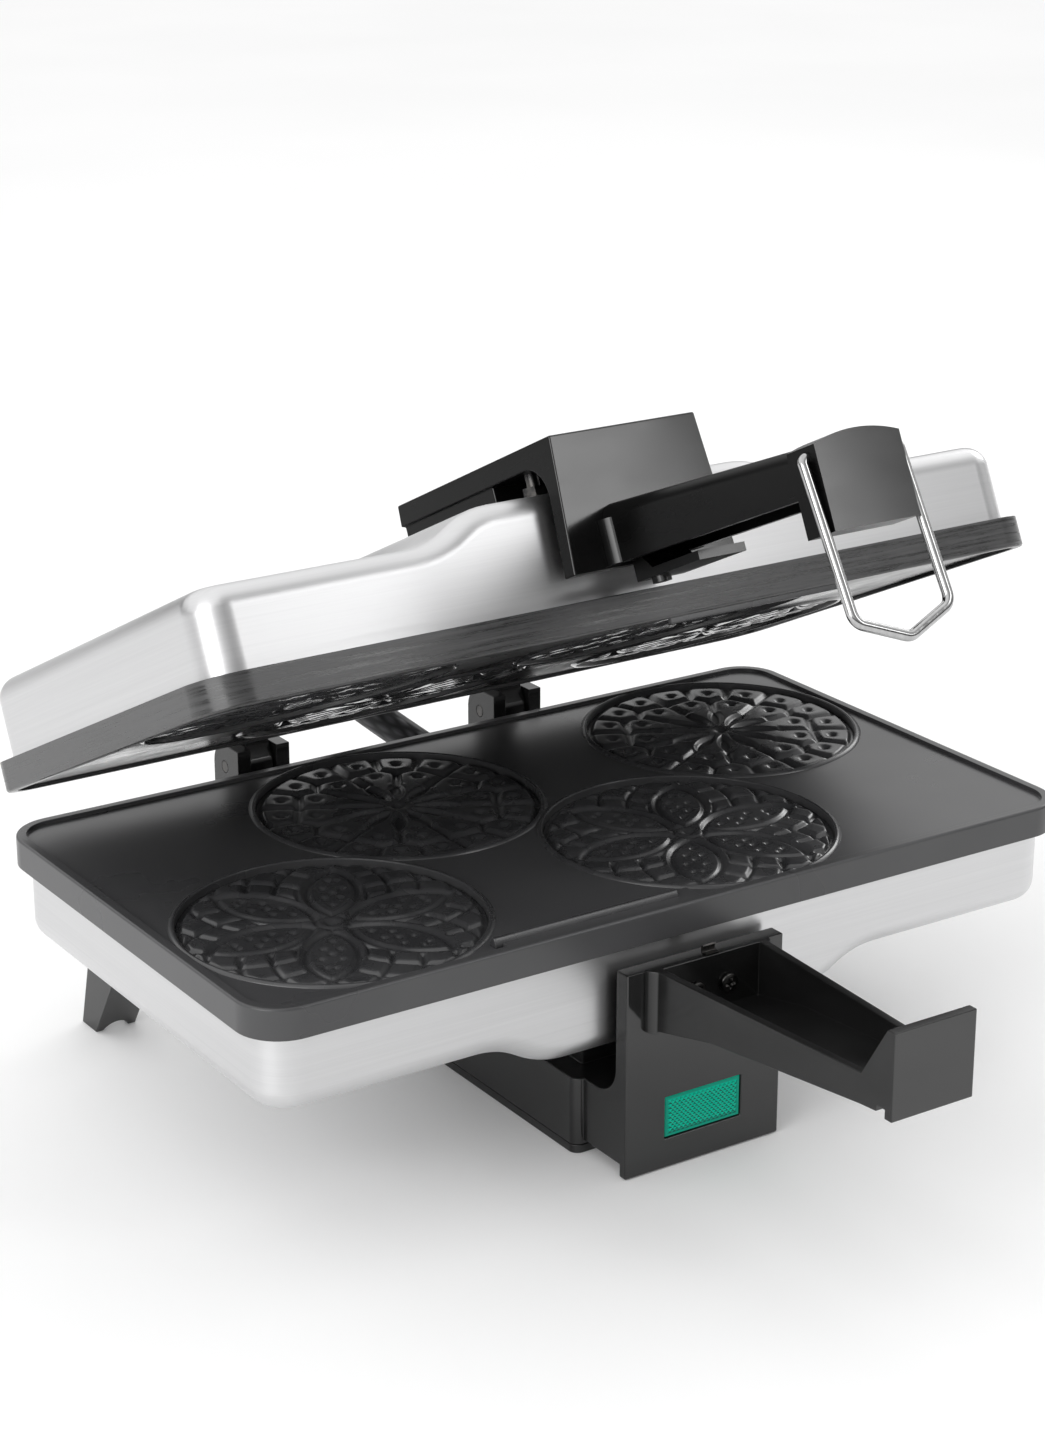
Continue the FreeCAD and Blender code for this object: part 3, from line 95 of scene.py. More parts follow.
class Finish:
    """One node material; its textures are laid on the object's own coordinates unless place is changed."""

    def __init__(self, name, tilt=0.0, **settings):
        self.material = bpy.data.materials.new(name)
        self.material.use_nodes = True
        self.nodes = self.material.node_tree.nodes
        self.links = self.material.node_tree.links
        self.surface = self.nodes["Principled BSDF"]
        source = self.nodes.new("ShaderNodeTexCoord")
        self.place = self.turned(source.outputs["Object"], tilt)
        self.normal = self.turned(source.outputs["Normal"], tilt)
        for socket, value in settings.items():
            self.surface.inputs[socket.replace("_", " ")].default_value = value

    def turned(self, source, tilt):
        """A vector turned about the X axis, to bring the tilted lid back level."""
        mapping = self.nodes.new("ShaderNodeMapping")
        mapping.vector_type = "VECTOR"
        mapping.inputs["Rotation"].default_value = (tilt, 0, 0)
        self.join(source, mapping.inputs["Vector"])
        return mapping.outputs["Vector"]

    def join(self, source, target):
        self.links.new(source, target)

    def stretched(self, scale):
        """The texture coordinates, multiplied by one number or by one for each axis."""
        mapping = self.nodes.new("ShaderNodeMapping")
        mapping.inputs["Scale"].default_value = scale if isinstance(scale, tuple) else (scale,) * 3
        self.join(self.place, mapping.inputs["Vector"])
        return mapping.outputs["Vector"]

    def noise(self, scale, detail=2.0, roughness=0.5):
        """Noise between about 0.3 and 0.7; the scale is in features per metre."""
        texture = self.nodes.new("ShaderNodeTexNoise")
        texture.inputs["Scale"].default_value = 1.0
        texture.inputs["Detail"].default_value = detail
        texture.inputs["Roughness"].default_value = roughness
        self.join(self.stretched(scale), texture.inputs["Vector"])
        return texture.outputs["Fac"]

    def wave(self, scale):
        """Diagonal bands; the scale's signs set which way they lean."""
        texture = self.nodes.new("ShaderNodeTexWave")
        texture.bands_direction = "DIAGONAL"
        texture.inputs["Scale"].default_value = 1.0
        self.join(self.stretched(scale), texture.inputs["Vector"])
        return texture.outputs["Fac"]

    def ranged(self, source, low, high, start=0.3, end=0.7):
        """A number between low and high that follows the source."""
        spread = self.nodes.new("ShaderNodeMapRange")
        for socket, value in zip(("From Min", "From Max", "To Min", "To Max"), (start, end, low, high)):
            spread.inputs[socket].default_value = value
        self.join(source, spread.inputs["Value"])
        return spread.outputs["Result"]

    def facing(self, axis, start, end):
        """1 on faces that look along an axis, either way, and 0 on faces across it."""
        split = self.nodes.new("ShaderNodeSeparateXYZ")
        self.join(self.normal, split.inputs[0])
        size = self.nodes.new("ShaderNodeMath")
        size.operation = "ABSOLUTE"
        self.join(split.outputs[axis], size.inputs[0])
        return self.ranged(size.outputs[0], low=0.0, high=1.0, start=start, end=end)

    def mixed(self, share, first, second):
        """The first source where the share is 0 and the second where it is 1."""
        node = self.nodes.new("ShaderNodeMix")
        self.join(share, node.inputs["Factor"])
        self.join(first, node.inputs["A"])
        self.join(second, node.inputs["B"])
        return node.outputs["Result"]

    def product(self, first, second):
        node = self.nodes.new("ShaderNodeMath")
        node.operation = "MULTIPLY"
        self.join(first, node.inputs[0])
        self.join(second, node.inputs[1])
        return node.outputs[0]

    def colours(self, source, dark, light, start=0.35, end=0.65):
        """Base colour between two colours, following the source."""
        ramp = self.nodes.new("ShaderNodeValToRGB")
        first, last = ramp.color_ramp.elements
        first.position, last.position = start, end
        first.color, last.color = (*dark, 1), (*light, 1)
        self.join(source, ramp.inputs["Fac"])
        self.join(ramp.outputs["Color"], self.surface.inputs["Base Color"])

    def roughness(self, source, low, high):
        self.join(self.ranged(source, low, high), self.surface.inputs["Roughness"])

    def bump(self, height, depth_mm):
        """Shade the surface as if a height between 0 and 1 raised it by up to a depth."""
        node = self.nodes.new("ShaderNodeBump")
        node.inputs["Distance"].default_value = depth_mm * MM
        self.join(height, node.inputs["Height"])
        self.join(node.outputs["Normal"], self.surface.inputs["Normal"])


def grey(level):
    return (level, level, level)


def brushed_steel(name, tilt):
    """Stainless sheet with a long fine grain that runs round its sides and across its back."""
    made = Finish(name, tilt, Metallic=1.0, Anisotropic=0.6, Anisotropic_Rotation=0.25)
    round_sides = made.noise((9, 9, 1100), detail=5.0, roughness=0.7)
    across_back = made.noise((9, 1100, 9), detail=5.0, roughness=0.7)
    grain = made.mixed(made.facing("Z", start=0.6, end=0.8), round_sides, across_back)
    cloud = made.noise((8, 8, 14))
    made.colours(grain, dark=(0.645, 0.645, 0.65), light=(0.695, 0.695, 0.7), start=0.3, end=0.7)
    made.roughness(made.product(grain, cloud), low=0.36, high=0.44)
    made.bump(grain, depth_mm=0.0012)
    return made.material


def coated_plate():
    """Dark non-stick coating on a casting, with a fine speckle."""
    made = Finish("coated_plate", Specular_IOR_Level=0.5)
    speckle = made.noise(1500)
    cloud = made.noise(22, detail=3.0)
    made.colours(cloud, dark=(0.056, 0.056, 0.058), light=(0.066, 0.066, 0.068))
    made.roughness(cloud, low=0.26, high=0.33)
    made.bump(speckle, depth_mm=0.005)
    return made.material


def drawn_plate(tilt):
    """The lid's plate: nearly black, with a drawn grain along its skirt."""
    made = Finish("drawn_plate", tilt, IOR=1.75, Anisotropic=0.8, Anisotropic_Rotation=0.25)
    streak = made.noise((26, 26, 900), detail=5.0, roughness=0.75)
    made.colours(streak, dark=(0.002, 0.002, 0.0022), light=(0.08, 0.08, 0.082), start=0.4, end=0.75)
    made.roughness(streak, low=0.14, high=0.5)
    made.bump(streak, depth_mm=0.06)
    return made.material


def mould_metal(name, smooth, dull):
    """The same coating in the engraved moulds, worn glossier; smooth and dull are its roughness."""
    made = Finish(name, Specular_IOR_Level=0.7)
    speckle = made.noise(3600, detail=3.0)
    cloud = made.noise(70, detail=3.0)
    made.colours(cloud, dark=(0.036, 0.036, 0.038), light=(0.054, 0.054, 0.056))
    made.roughness(cloud, low=smooth, high=dull)
    made.bump(speckle, depth_mm=0.006)
    return made.material


def black_moulding(name, tilt, side_gloss, side_roughness, dark, light):
    """Phenolic: nearly black, polished on its front faces and its back, duller on the rest."""
    made = Finish(name, tilt, IOR=1.66)
    flow = made.noise((30, 30, 90), detail=3.0)
    grain = made.noise(2400)
    made.colours(flow, dark=grey(dark), light=grey(light))
    front = made.facing("Y", start=0.35, end=0.75)
    on_sides = made.ranged(flow, low=side_roughness, high=side_roughness + 0.1)
    on_front = made.ranged(flow, low=0.09, high=0.16)
    made.join(made.mixed(front, on_sides, on_front), made.surface.inputs["Roughness"])
    specular = made.ranged(front, low=side_gloss, high=0.5, start=0.0, end=1.0)
    made.join(specular, made.surface.inputs["Specular IOR Level"])
    made.bump(grain, depth_mm=0.002)
    return made.material


def blackened_steel():
    """Oiled black oxide on the small fasteners that show."""
    made = Finish("blackened_steel", Metallic=1.0)
    cloud = made.noise(420, detail=3.0)
    made.colours(cloud, dark=grey(0.05), light=(0.11, 0.105, 0.1))
    made.roughness(cloud, low=0.24, high=0.4)
    made.bump(made.noise(3000), depth_mm=0.006)
    return made.material


def plated_fastener():
    made = Finish("plated_fastener", Metallic=1.0)
    cloud = made.noise(420, detail=3.0)
    made.colours(cloud, dark=(0.5, 0.49, 0.47), light=(0.64, 0.63, 0.61))
    made.roughness(cloud, low=0.22, high=0.36)
    made.bump(made.noise(3000), depth_mm=0.008)
    return made.material


def latch_wire():
    """Drawn wire, a little dark, with faint long marks."""
    made = Finish("latch_wire", Metallic=1.0)
    marks = made.noise((900, 900, 160), detail=3.0)
    made.colours(marks, dark=grey(0.42), light=grey(0.5))
    made.roughness(marks, low=0.1, high=0.17)
    made.bump(marks, depth_mm=0.002)
    return made.material


def green_lens():
    """Tinted lens; painted light makes the sides of its small modelled prisms that look up lighter, and painted
    shade makes those that look down darker.
    """
    glow = (0.0, 0.62, 0.4, 1)
    made = Finish(
        "green_lens", IOR=1.49, Specular_IOR_Level=0.2, Emission_Strength=0.05, Emission_Color=glow)
    split = made.nodes.new("ShaderNodeSeparateXYZ")
    made.join(made.normal, split.inputs[0])
    # Painted light and shade: the base colour follows how far each facet's normal points up.
    painted_facet_light = made.ranged(split.outputs["Z"], low=0.0, high=1.0, start=-0.6, end=0.6)
    made.colours(painted_facet_light, dark=(0.0, 0.06, 0.045), light=(0.0, 0.5, 0.33), start=0.2, end=0.8)
    made.roughness(made.noise(260, detail=3.0), low=0.12, high=0.22)
    made.bump(made.noise(1800), depth_mm=0.004)
    return made.material


def lamp_glass():
    made = Finish("lamp_glass", Transmission_Weight=0.8, IOR=1.5)
    cloud = made.noise(300)
    made.colours(cloud, dark=(0.85, 0.78, 0.7), light=(0.95, 0.9, 0.85))
    made.roughness(cloud, low=0.03, high=0.08)
    return made.material


def pale_insulator():
    made = Finish("pale_insulator")
    cloud = made.noise(160, detail=4.0)
    made.colours(cloud, dark=(0.66, 0.63, 0.55), light=(0.78, 0.75, 0.68))
    made.roughness(cloud, low=0.42, high=0.56)
    made.bump(made.noise(2600), depth_mm=0.02)
    return made.material


def black_rubber():
    made = Finish("black_rubber")
    cloud = made.noise(500, detail=4.0)
    made.colours(cloud, dark=grey(0.012), light=grey(0.03))
    made.roughness(cloud, low=0.55, high=0.75)
    made.bump(made.noise(2200, detail=3.0), depth_mm=0.03)
    return made.material


def element_sheath():
    """Heat-darkened tube, straw to purple-black."""
    made = Finish("element_sheath", Metallic=1.0)
    cloud = made.noise(60, detail=4.0)
    made.colours(cloud, dark=(0.10, 0.09, 0.10), light=(0.34, 0.29, 0.24))
    made.roughness(cloud, low=0.35, high=0.55)
    made.bump(made.noise(1500, detail=3.0), depth_mm=0.02)
    return made.material


def sheet_aluminium():
    made = Finish("sheet_aluminium", Metallic=1.0)
    roll = made.noise((14, 1500, 1500), detail=3.0)
    made.colours(roll, dark=grey(0.66), light=grey(0.8))
    made.roughness(roll, low=0.3, high=0.45)
    made.bump(roll, depth_mm=0.015)
    return made.material


YARN_BANDS = 6.0


def braided_sleeve():
    """Woven glass sleeve; the yarns are laid along the tube's own length and turn."""
    made = Finish("braided_sleeve", Sheen_Weight=0.15)
    made.place = made.nodes["Texture Coordinate"].outputs["UV"]
    over = made.wave((YARN_BANDS, YARN_BANDS, 0.0))
    under = made.wave((YARN_BANDS, -YARN_BANDS, 0.0))
    weave = made.product(over, under)
    made.colours(weave, dark=(0.008, 0.008, 0.009), light=(0.07, 0.07, 0.075), start=0.0, end=0.8)
    made.roughness(weave, low=0.5, high=0.7)
    made.bump(weave, depth_mm=0.25)
    return made.material


# Finishes by material slot, and the nodes that have one of their own
FINISHES = {
    "shell_steel": brushed_steel("brushed_steel", tilt=0.0),
    "coated_plate": coated_plate(),
    "element_sheath": element_sheath(),
    "sheet_aluminium": sheet_aluminium(),
    "fastener_steel": plated_fastener(),
    "latch_wire": latch_wire(),
    "green_lens": green_lens(),
    "lamp_glass": lamp_glass(),
    "pale_insulator": pale_insulator(),
    "black_rubber": black_rubber(),
    "lead_sleeve": braided_sleeve(),
    "black_moulding": black_moulding(
        "black_moulding", tilt=0.0, side_gloss=0.26, side_roughness=0.16, dark=0.008, light=0.013),
}
BLACKENED = blackened_steel()
MOULD_FINISHES = {
    "base": mould_metal("coated_base_mould", smooth=0.22, dull=0.32),
    "lid": mould_metal("coated_lid_mould", smooth=0.08, dull=0.16),
}
LID_MOULDING = black_moulding(
    "black_lid_moulding", tilt=LID_OPEN, side_gloss=0.06, side_roughness=0.24, dark=0.002, light=0.004)
OWN_FINISHES = {
    "upper_housing": LID_MOULDING,
    "upper_handle": LID_MOULDING,
    "upper_plate": drawn_plate(LID_OPEN),
    "lid_shell": brushed_steel("brushed_lid_steel", LID_OPEN),
    "hinge_pin_left": BLACKENED,
    "hinge_pin_right": BLACKENED,
}

# Rounding of the edges by node. It is held back on CLAMPED_EDGES where edges lie close together, and left
# out on NO_EDGE. The flat faces of KEPT_FACETS aren't merged first.
EDGE_MM = {
    "lower_plate": 0.2, "upper_plate": 0.2, "base_shell": 0.2, "lid_shell": 0.2,
    "lower_housing": 0.5, "upper_housing": 0.5, "lower_handle": 0.3,
}
DEFAULT_EDGE_MM = 0.25
CLAMPED_EDGES = ("upper_handle",)
NO_EDGE = ("latch_bail", "lower_element", "upper_element", "jumper_lead")
KEPT_FACETS = ("lower_plate", "upper_plate")
EDGE_SEGMENTS = 3
SHARP_ANGLE = math.radians(50)
FLAT_ANGLE = math.radians(0.5)
WELD_MM = 0.05


def add_edge(piece, width_mm):
    """Round a piece's sharp edges and keep its flats flat."""
    edge = piece.modifiers.new("edge", "BEVEL")
    edge.limit_method = "ANGLE"
    edge.angle_limit = SHARP_ANGLE
    edge.width = width_mm * MM
    edge.segments = EDGE_SEGMENTS
    edge.use_clamp_overlap = piece.name in CLAMPED_EDGES
    shade = piece.modifiers.new("shade", "WEIGHTED_NORMAL")
    shade.keep_sharp = False


def finish_nodes():
    """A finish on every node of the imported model, and rounded edges on most."""
    slots = {row["node"]: row["material_slot"] for row in frame["record"]["subparts"]}
    for name, node in NODES.items():
        material = OWN_FINISHES.get(name, FINISHES[slots[name]])
        for spot in node.material_slots:
            spot.material = material
        weld = node.modifiers.new("weld", "WELD")
        weld.merge_threshold = WELD_MM * MM
        if name in NO_EDGE:
            continue
        if name not in KEPT_FACETS:
            flat = node.modifiers.new("flat", "DECIMATE")
            flat.decimate_type = "DISSOLVE"
            flat.angle_limit = FLAT_ANGLE
        add_edge(node, EDGE_MM.get(name, DEFAULT_EDGE_MM))


# Pieces

def new_piece(name, built, body, material, place=Matrix.Identity(4)):
    """A smooth mesh object from a bmesh, put in its place and riding on a body."""
    bmesh.ops.recalc_face_normals(built, faces=built.faces)
    mesh = bpy.data.meshes.new(name)
    built.to_mesh(mesh)
    built.free()
    mesh.transform(place)
    if place.determinant() < 0:
        mesh.flip_normals()
    mesh.shade_smooth()
    mesh.materials.append(material)
    piece = bpy.data.objects.new(name, mesh)
    bpy.context.scene.collection.objects.link(piece)
    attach(piece, body)
    return piece


# Engraved moulds: grooves are given as half widths, and depths as shares of the relief

LINE_MM = 1.05
DOT_MM = 1.45
GUTTER_MM = 42.6
GUTTER_SLOPE_MM = 0.5

LARGE_PETALS = 6
PETAL_ROOT_MM = 6.0
PETAL_LENGTH_MM = 33.0
PETAL_WIDTH_MM = 15.0
PETAL_LINE_MM = 1.25 * LINE_MM
PETAL_SINK = 0.35
PETAL_SLOPE_MM = 2.4
PETAL_DOTS_MM = ((-9.6, 0.0), (-4.2, 2.4), (2.6, 2.9), (-0.8, 0.0), (8.4, 1.3))
PETAL_EYE_MM = 2.1
EYE_RING_MM = 4.6
EYE_RING_LINE_MM = 0.8
EYE_RING_SINK = 0.6

LATTICE_TURNS = 18
LATTICE_STEP_MM = 13.0
LATTICE_LINE_MM = 0.85 * LINE_MM
LATTICE_LEAST_RADIUS_MM = 1.0
LATTICE_FROM_PETAL_MM = (1.6, 3.0)
LATTICE_FROM_MIDDLE_MM = (11.0, 14.0)

NARROW_PETALS = 12
RAY_ROOT_MM = 4.5
RAY_LENGTH_MM = 17.0
RAY_WIDTH_MM = 5.0
RAY_SLOPE_MM = (-0.4, 1.3)
RAY_EYE_MM = 1.9

INNER_CELLS = 12
INNER_CELL_RING_MM = 26.5
INNER_CELL_SHIFT = 0.5
OUTER_CELLS = 18
OUTER_CELL_RING_MM = 37.0
OUTER_CELL_SHIFT = 0.0
CELL_LINE_MM = 1.1 * LINE_MM
CELLS_FROM_MIDDLE_MM = (18.5, 20.5)


def line(distance, width):
    """How deep a groove of this half width is at a distance from its middle, 0 to 1."""
    return math.exp(-(distance / width) ** 2)


def step(low, high, value):
    """A smooth rise from 0 at low to 1 at high."""
    part = min(max((value - low) / (high - low), 0.0), 1.0)
    return part * part * (3 - 2 * part)


def petal_frame(radius, angle, count, middle):
    """The point seen from the middle of its nearest petal: along the petal, and across it."""
    turn = 2 * math.pi / count
    offset = angle - turn * round(angle / turn)
    return radius * math.cos(offset) - middle, radius * math.sin(offset)


def petal_edge(along, across, length, width):
    """Distance from a pointed petal's outline, negative inside."""
    half, bow = length / 2, width / 2
    bend = (half * half + bow * bow) / (2 * bow)
    return math.hypot(along, abs(across) + bend - bow) - bend


def spiral_line(radius, angle, lean):
    """Depth of the nearest of a set of spiral grooves."""
    turns = LATTICE_TURNS * angle / (2 * math.pi) + lean * radius / LATTICE_STEP_MM
    steepness = math.hypot(LATTICE_TURNS / (2 * math.pi * radius), 1 / LATTICE_STEP_MM)
    return line((turns - round(turns)) / steepness, LATTICE_LINE_MM)


def large_petal_depth(radius, angle):
    """Six large petals with dots in them, and a lattice between them."""
    along, across = petal_frame(radius, angle, LARGE_PETALS, PETAL_ROOT_MM + PETAL_LENGTH_MM / 2)
    edge = petal_edge(along, across, PETAL_LENGTH_MM, PETAL_WIDTH_MM)
    depth = line(edge, PETAL_LINE_MM)
    if edge < 0:
        depth = max(depth, PETAL_SINK * step(0.0, PETAL_SLOPE_MM, -edge))
        for dot_along, dot_across in PETAL_DOTS_MM:
            depth = max(depth, line(math.hypot(along - dot_along, abs(across) - dot_across), DOT_MM))
    else:
        between = step(*LATTICE_FROM_PETAL_MM, edge) * step(*LATTICE_FROM_MIDDLE_MM, radius)
        reach = max(radius, LATTICE_LEAST_RADIUS_MM)
        depth = max(depth, between * max(spiral_line(reach, angle, lean) for lean in (-1, 1)))
    eye_ring = EYE_RING_SINK * line(radius - EYE_RING_MM, EYE_RING_LINE_MM)
    return max(depth, line(radius, PETAL_EYE_MM), eye_ring)


def cell_distances(radius, angle):
    """Distances to the two nearest middles of the round cells."""
    x, y = radius * math.cos(angle), radius * math.sin(angle)
    found = []
    for count, ring, shift in (
        (INNER_CELLS, INNER_CELL_RING_MM, INNER_CELL_SHIFT),
        (OUTER_CELLS, OUTER_CELL_RING_MM, OUTER_CELL_SHIFT),
    ):
        turn = 2 * math.pi / count
        nearest = round(angle / turn - shift)
        for number in (nearest - 1, nearest, nearest + 1):
            way = (number + shift) * turn
            found.append(math.hypot(x - ring * math.cos(way), y - ring * math.sin(way)))
    found.sort()
    return found[0], found[1]


def daisy_depth(radius, angle):
    """Twelve narrow petals, with two rings of round cells about them."""
    along, across = petal_frame(radius, angle, NARROW_PETALS, RAY_ROOT_MM + RAY_LENGTH_MM / 2)
    edge = petal_edge(along, across, RAY_LENGTH_MM, RAY_WIDTH_MM)
    nearest, second = cell_distances(radius, angle)
    cells = max(line((second - nearest) / 2, CELL_LINE_MM), line(nearest, DOT_MM))
    outside = step(*CELLS_FROM_MIDDLE_MM, radius)
    return max(step(*RAY_SLOPE_MM, -edge), outside * cells, line(radius, RAY_EYE_MM))


def sampled_disc(height, radius, rings, steps):
    """A face for polar_solid: the height in the middle, then the heights round each ring."""
    face = [height(0.0, 0.0)]
    for ring in range(1, rings + 1):
        reach = radius * ring / rings
        face.append([height(reach, 2 * math.pi * number / steps) for number in range(steps)])
    return face


def polar_solid(built, face, radius, foot):
    """A closed disc: rings of heights for its face, the middle's height first, and a flat foot. All in mm."""
    middle_height, *ring_heights = face
    rings = []
    for number, heights in enumerate(ring_heights, start=1):
        reach = radius * number / len(ring_heights)
        turn = 2 * math.pi / len(heights)
        rings.append([
            built.verts.new((reach * math.cos(k * turn) * MM, reach * math.sin(k * turn) * MM, height * MM))
            for k, height in enumerate(heights)
        ])
    middle = built.verts.new((0, 0, middle_height * MM))
    rim = [built.verts.new((v.co.x, v.co.y, foot * MM)) for v in rings[-1]]
    for k, start in enumerate(rings[0]):
        after = (k + 1) % len(rim)
        built.faces.new((middle, start, rings[0][after]))
        for inner, outer in zip(rings, rings[1:] + [rim]):
            built.faces.new((inner[k], outer[k], outer[after], inner[after]))
    built.faces.new(rim)


def ring_solid(built, outline, steps):
    """A closed ring: an outline of radii and depths in mm, turned about the middle."""
    turn = 2 * math.pi / steps
    rows = [
        [
            built.verts.new((radius * math.cos(k * turn) * MM, radius * math.sin(k * turn) * MM, depth * MM))
            for radius, depth in outline
        ]
        for k in range(steps)
    ]
    for k, row in enumerate(rows):
        after = rows[(k + 1) % steps]
        for n in range(len(outline)):
            last = (n + 1) % len(outline)
            built.faces.new((row[n], row[last], after[last], after[n]))


def mould_face(pattern):
    """A mould's face: the pattern, with a gutter round it as deep as its grooves."""
    def depth(radius, angle):
        gutter = step(GUTTER_MM - GUTTER_SLOPE_MM, GUTTER_MM + GUTTER_SLOPE_MM, radius)
        return GROOVE_FLOOR_MM - RELIEF_MM * (1 - max(pattern(radius, angle), gutter))

    return sampled_disc(depth, MOULD_RADIUS_MM, MOULD_RINGS, MOULD_STEPS)


def make_moulds():
    """A patterned disc on the floor of each of the plates' round wells, and a rounded rim about it."""
    faces = [mould_face(large_petal_depth), mould_face(daisy_depth)]
    for half, rim in (("base", BASE_FRAME), ("lid", LID_FRAME)):
        for number in range(MOULDS):
            in_front = number % 2 == 0
            x = (2 * number + 1 - MOULDS) * MOULD_PITCH_MM / 2
            y = -MOULD_STAGGER_MM if in_front else MOULD_STAGGER_MM
            spot = Vector((x, y, 0)) * MM
            built = bmesh.new()
            polar_solid(built, faces[number % 2], MOULD_RADIUS_MM, MOULD_FLOOR_MM)
            ring_solid(built, RIM_MM, RIM_STEPS)
            place = rim @ Matrix.Translation(spot)
            new_piece(f"mould_{half}_{number + 1}", built, half, MOULD_FINISHES[half], place)


# Ribs along the front edges of the plates; their sections are given as places across the plate and depths

RIB_NEAR_MM = 3.4
RIB_FAR_MM = 66.5
BASE_RIB_MM = [(-76.4, 1.25), (-76.4, 0.1), (-75.4, -1.65), (-74.4, -1.65), (-73.2, 0.1), (-73.2, 1.25)]
LID_RIB_MM = [(-80.4, 0.3), (-80.4, -1.6), (-78.8, -1.6), (-78.8, 0.3)]
RIB_EDGE_MM = 0.3


def make_rib(name, body, rim, side, outline):
    """A straight rib with a section, to the left (side -1) or right (side 1) of the middle."""
    built = bmesh.new()
    ends = [
        [built.verts.new((side * x * MM, y * MM, depth * MM)) for y, depth in outline]
        for x in (RIB_NEAR_MM, RIB_FAR_MM)
    ]
    for end in ends:
        built.faces.new(end)
    for k in range(len(outline)):
        after = (k + 1) % len(outline)
        built.faces.new((ends[0][k], ends[1][k], ends[1][after], ends[0][after]))
    piece = new_piece(name, built, body, MOULD_FINISHES["base"], rim)
    add_edge(piece, RIB_EDGE_MM)


# Lens prisms

LENS_HALF_X_MM = 13.4
LENS_HALF_Z_MM = 6.25
PRISM_STEP_MM = 0.8
PRISM_MM = 0.45
VALLEY_MM = PRISM_MM / 4
PRISM_BORDER = 1
LENS_ROOT_MM = 0.02


def make_prisms():
    """The lens's hatched face: small pyramids in diagonal rows, inside a flat border."""
    low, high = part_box("indicator_lens")
    middle = (low + high) / 2
    columns = round(2 * LENS_HALF_X_MM / PRISM_STEP_MM)
    rows = round(2 * LENS_HALF_Z_MM / PRISM_STEP_MM)
    built = bmesh.new()

    def corner(i, k, out):
        x = middle.x + (2 * i / columns - 1) * LENS_HALF_X_MM * MM
        z = middle.z + (2 * k / rows - 1) * LENS_HALF_Z_MM * MM
        return built.verts.new((x, low.y - out * MM, z))

    def height(i, k):
        inside = min(i, k, columns - i, rows - k) > PRISM_BORDER
        return PRISM_MM if inside and (i + k) % 2 == 0 else VALLEY_MM

    face = [[corner(i, k, height(i, k)) for k in range(rows + 1)] for i in range(columns + 1)]
    for i in range(columns):
        for k in range(rows):
            low_left, low_right = face[i][k], face[i + 1][k]
            high_left, high_right = face[i][k + 1], face[i + 1][k + 1]
            if (i + k) % 2 == 0:
                halves = (low_left, low_right, high_right), (low_left, high_right, high_left)
            else:
                halves = (low_left, low_right, high_left), (low_right, high_right, high_left)
            for corners in halves:
                built.faces.new(corners)
    edge = [face[i][0] for i in range(columns)] + [face[columns][k] for k in range(rows)]
    edge += [face[i][rows] for i in range(columns, 0, -1)] + [face[0][k] for k in range(rows, 0, -1)]
    back = [built.verts.new((v.co.x, low.y + LENS_ROOT_MM * MM, v.co.z)) for v in edge]
    for k, vertex in enumerate(edge):
        after = (k + 1) % len(edge)
        built.faces.new((vertex, back[k], back[after], edge[after]))
    built.faces.new(back)
    piece = new_piece("lens_prisms", built, "base", FINISHES["green_lens"])
    piece.data.shade_flat()


# Screws, stud and clip

HEAD_RADIUS_MM = 2.8
HEAD_HEIGHT_MM = 2.0
HEAD_CROWN_MM = 0.7
HEAD_RINGS = 20
HEAD_STEPS = 64
CROSS_HALF_MM = 0.45
CROSS_REACH_MM = 1.75
CROSS_DEPTH_MM = 1.0
SHANK_RADIUS_MM = 1.5
SHANK_LENGTH_MM = 5.5
HANDLE_SCREW_X_MM = 5.7
HANDLE_SCREW_Y_MM = -90.1
LOWER_SCREW_DEPTH_MM = 24.75
UPPER_SCREW_DEPTH_MM = 26.2


def head_height(radius, angle):
    """Height of a crowned pan head with a cross recess."""
    across = abs(radius * math.cos(angle))
    along = abs(radius * math.sin(angle))
    crown = HEAD_HEIGHT_MM - HEAD_CROWN_MM * (radius / HEAD_RADIUS_MM) ** 2
    if min(across, along) < CROSS_HALF_MM and max(across, along) < CROSS_REACH_MM:
        return crown - CROSS_DEPTH_MM
    return crown


def make_handle_screws(name, node, body, rim, depth):
    """Two cross-head screws in a handle's root, heads to the front."""
    face = sampled_disc(head_height, HEAD_RADIUS_MM, HEAD_RINGS, HEAD_STEPS)
    built = bmesh.new()
    for side in (-1, 1):
        before = len(built.verts)
        polar_solid(built, face, HEAD_RADIUS_MM, 0.0)
        polar_solid(built, [0.0, [0.0] * HEAD_STEPS], SHANK_RADIUS_MM, -SHANK_LENGTH_MM)
        built.verts.ensure_lookup_table()
        spot = Vector((side * HANDLE_SCREW_X_MM, HANDLE_SCREW_Y_MM + HEAD_HEIGHT_MM, depth)) * MM
        turn = Matrix.Translation(spot) @ Matrix.Rotation(math.pi / 2, 4, "X")
        bmesh.ops.transform(built, matrix=turn, verts=built.verts[before:])
    piece = new_piece(name, built, body, BLACKENED, rim)
    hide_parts(node)


STUD_X_MM = -19.0
STUD_Y_MM = -62.0
STUD_FOOT_MM = 42.4
STUD_TOP_MM = 50.1
STUD_RADIUS_MM = 2.0
WASHER_RADIUS_MM = 4.6
WASHER_MM = 0.9
NUT_RADIUS_MM = 3.9
NUT_MM = 2.8
STUD_STEPS = 48
NUT_SIDES = 6


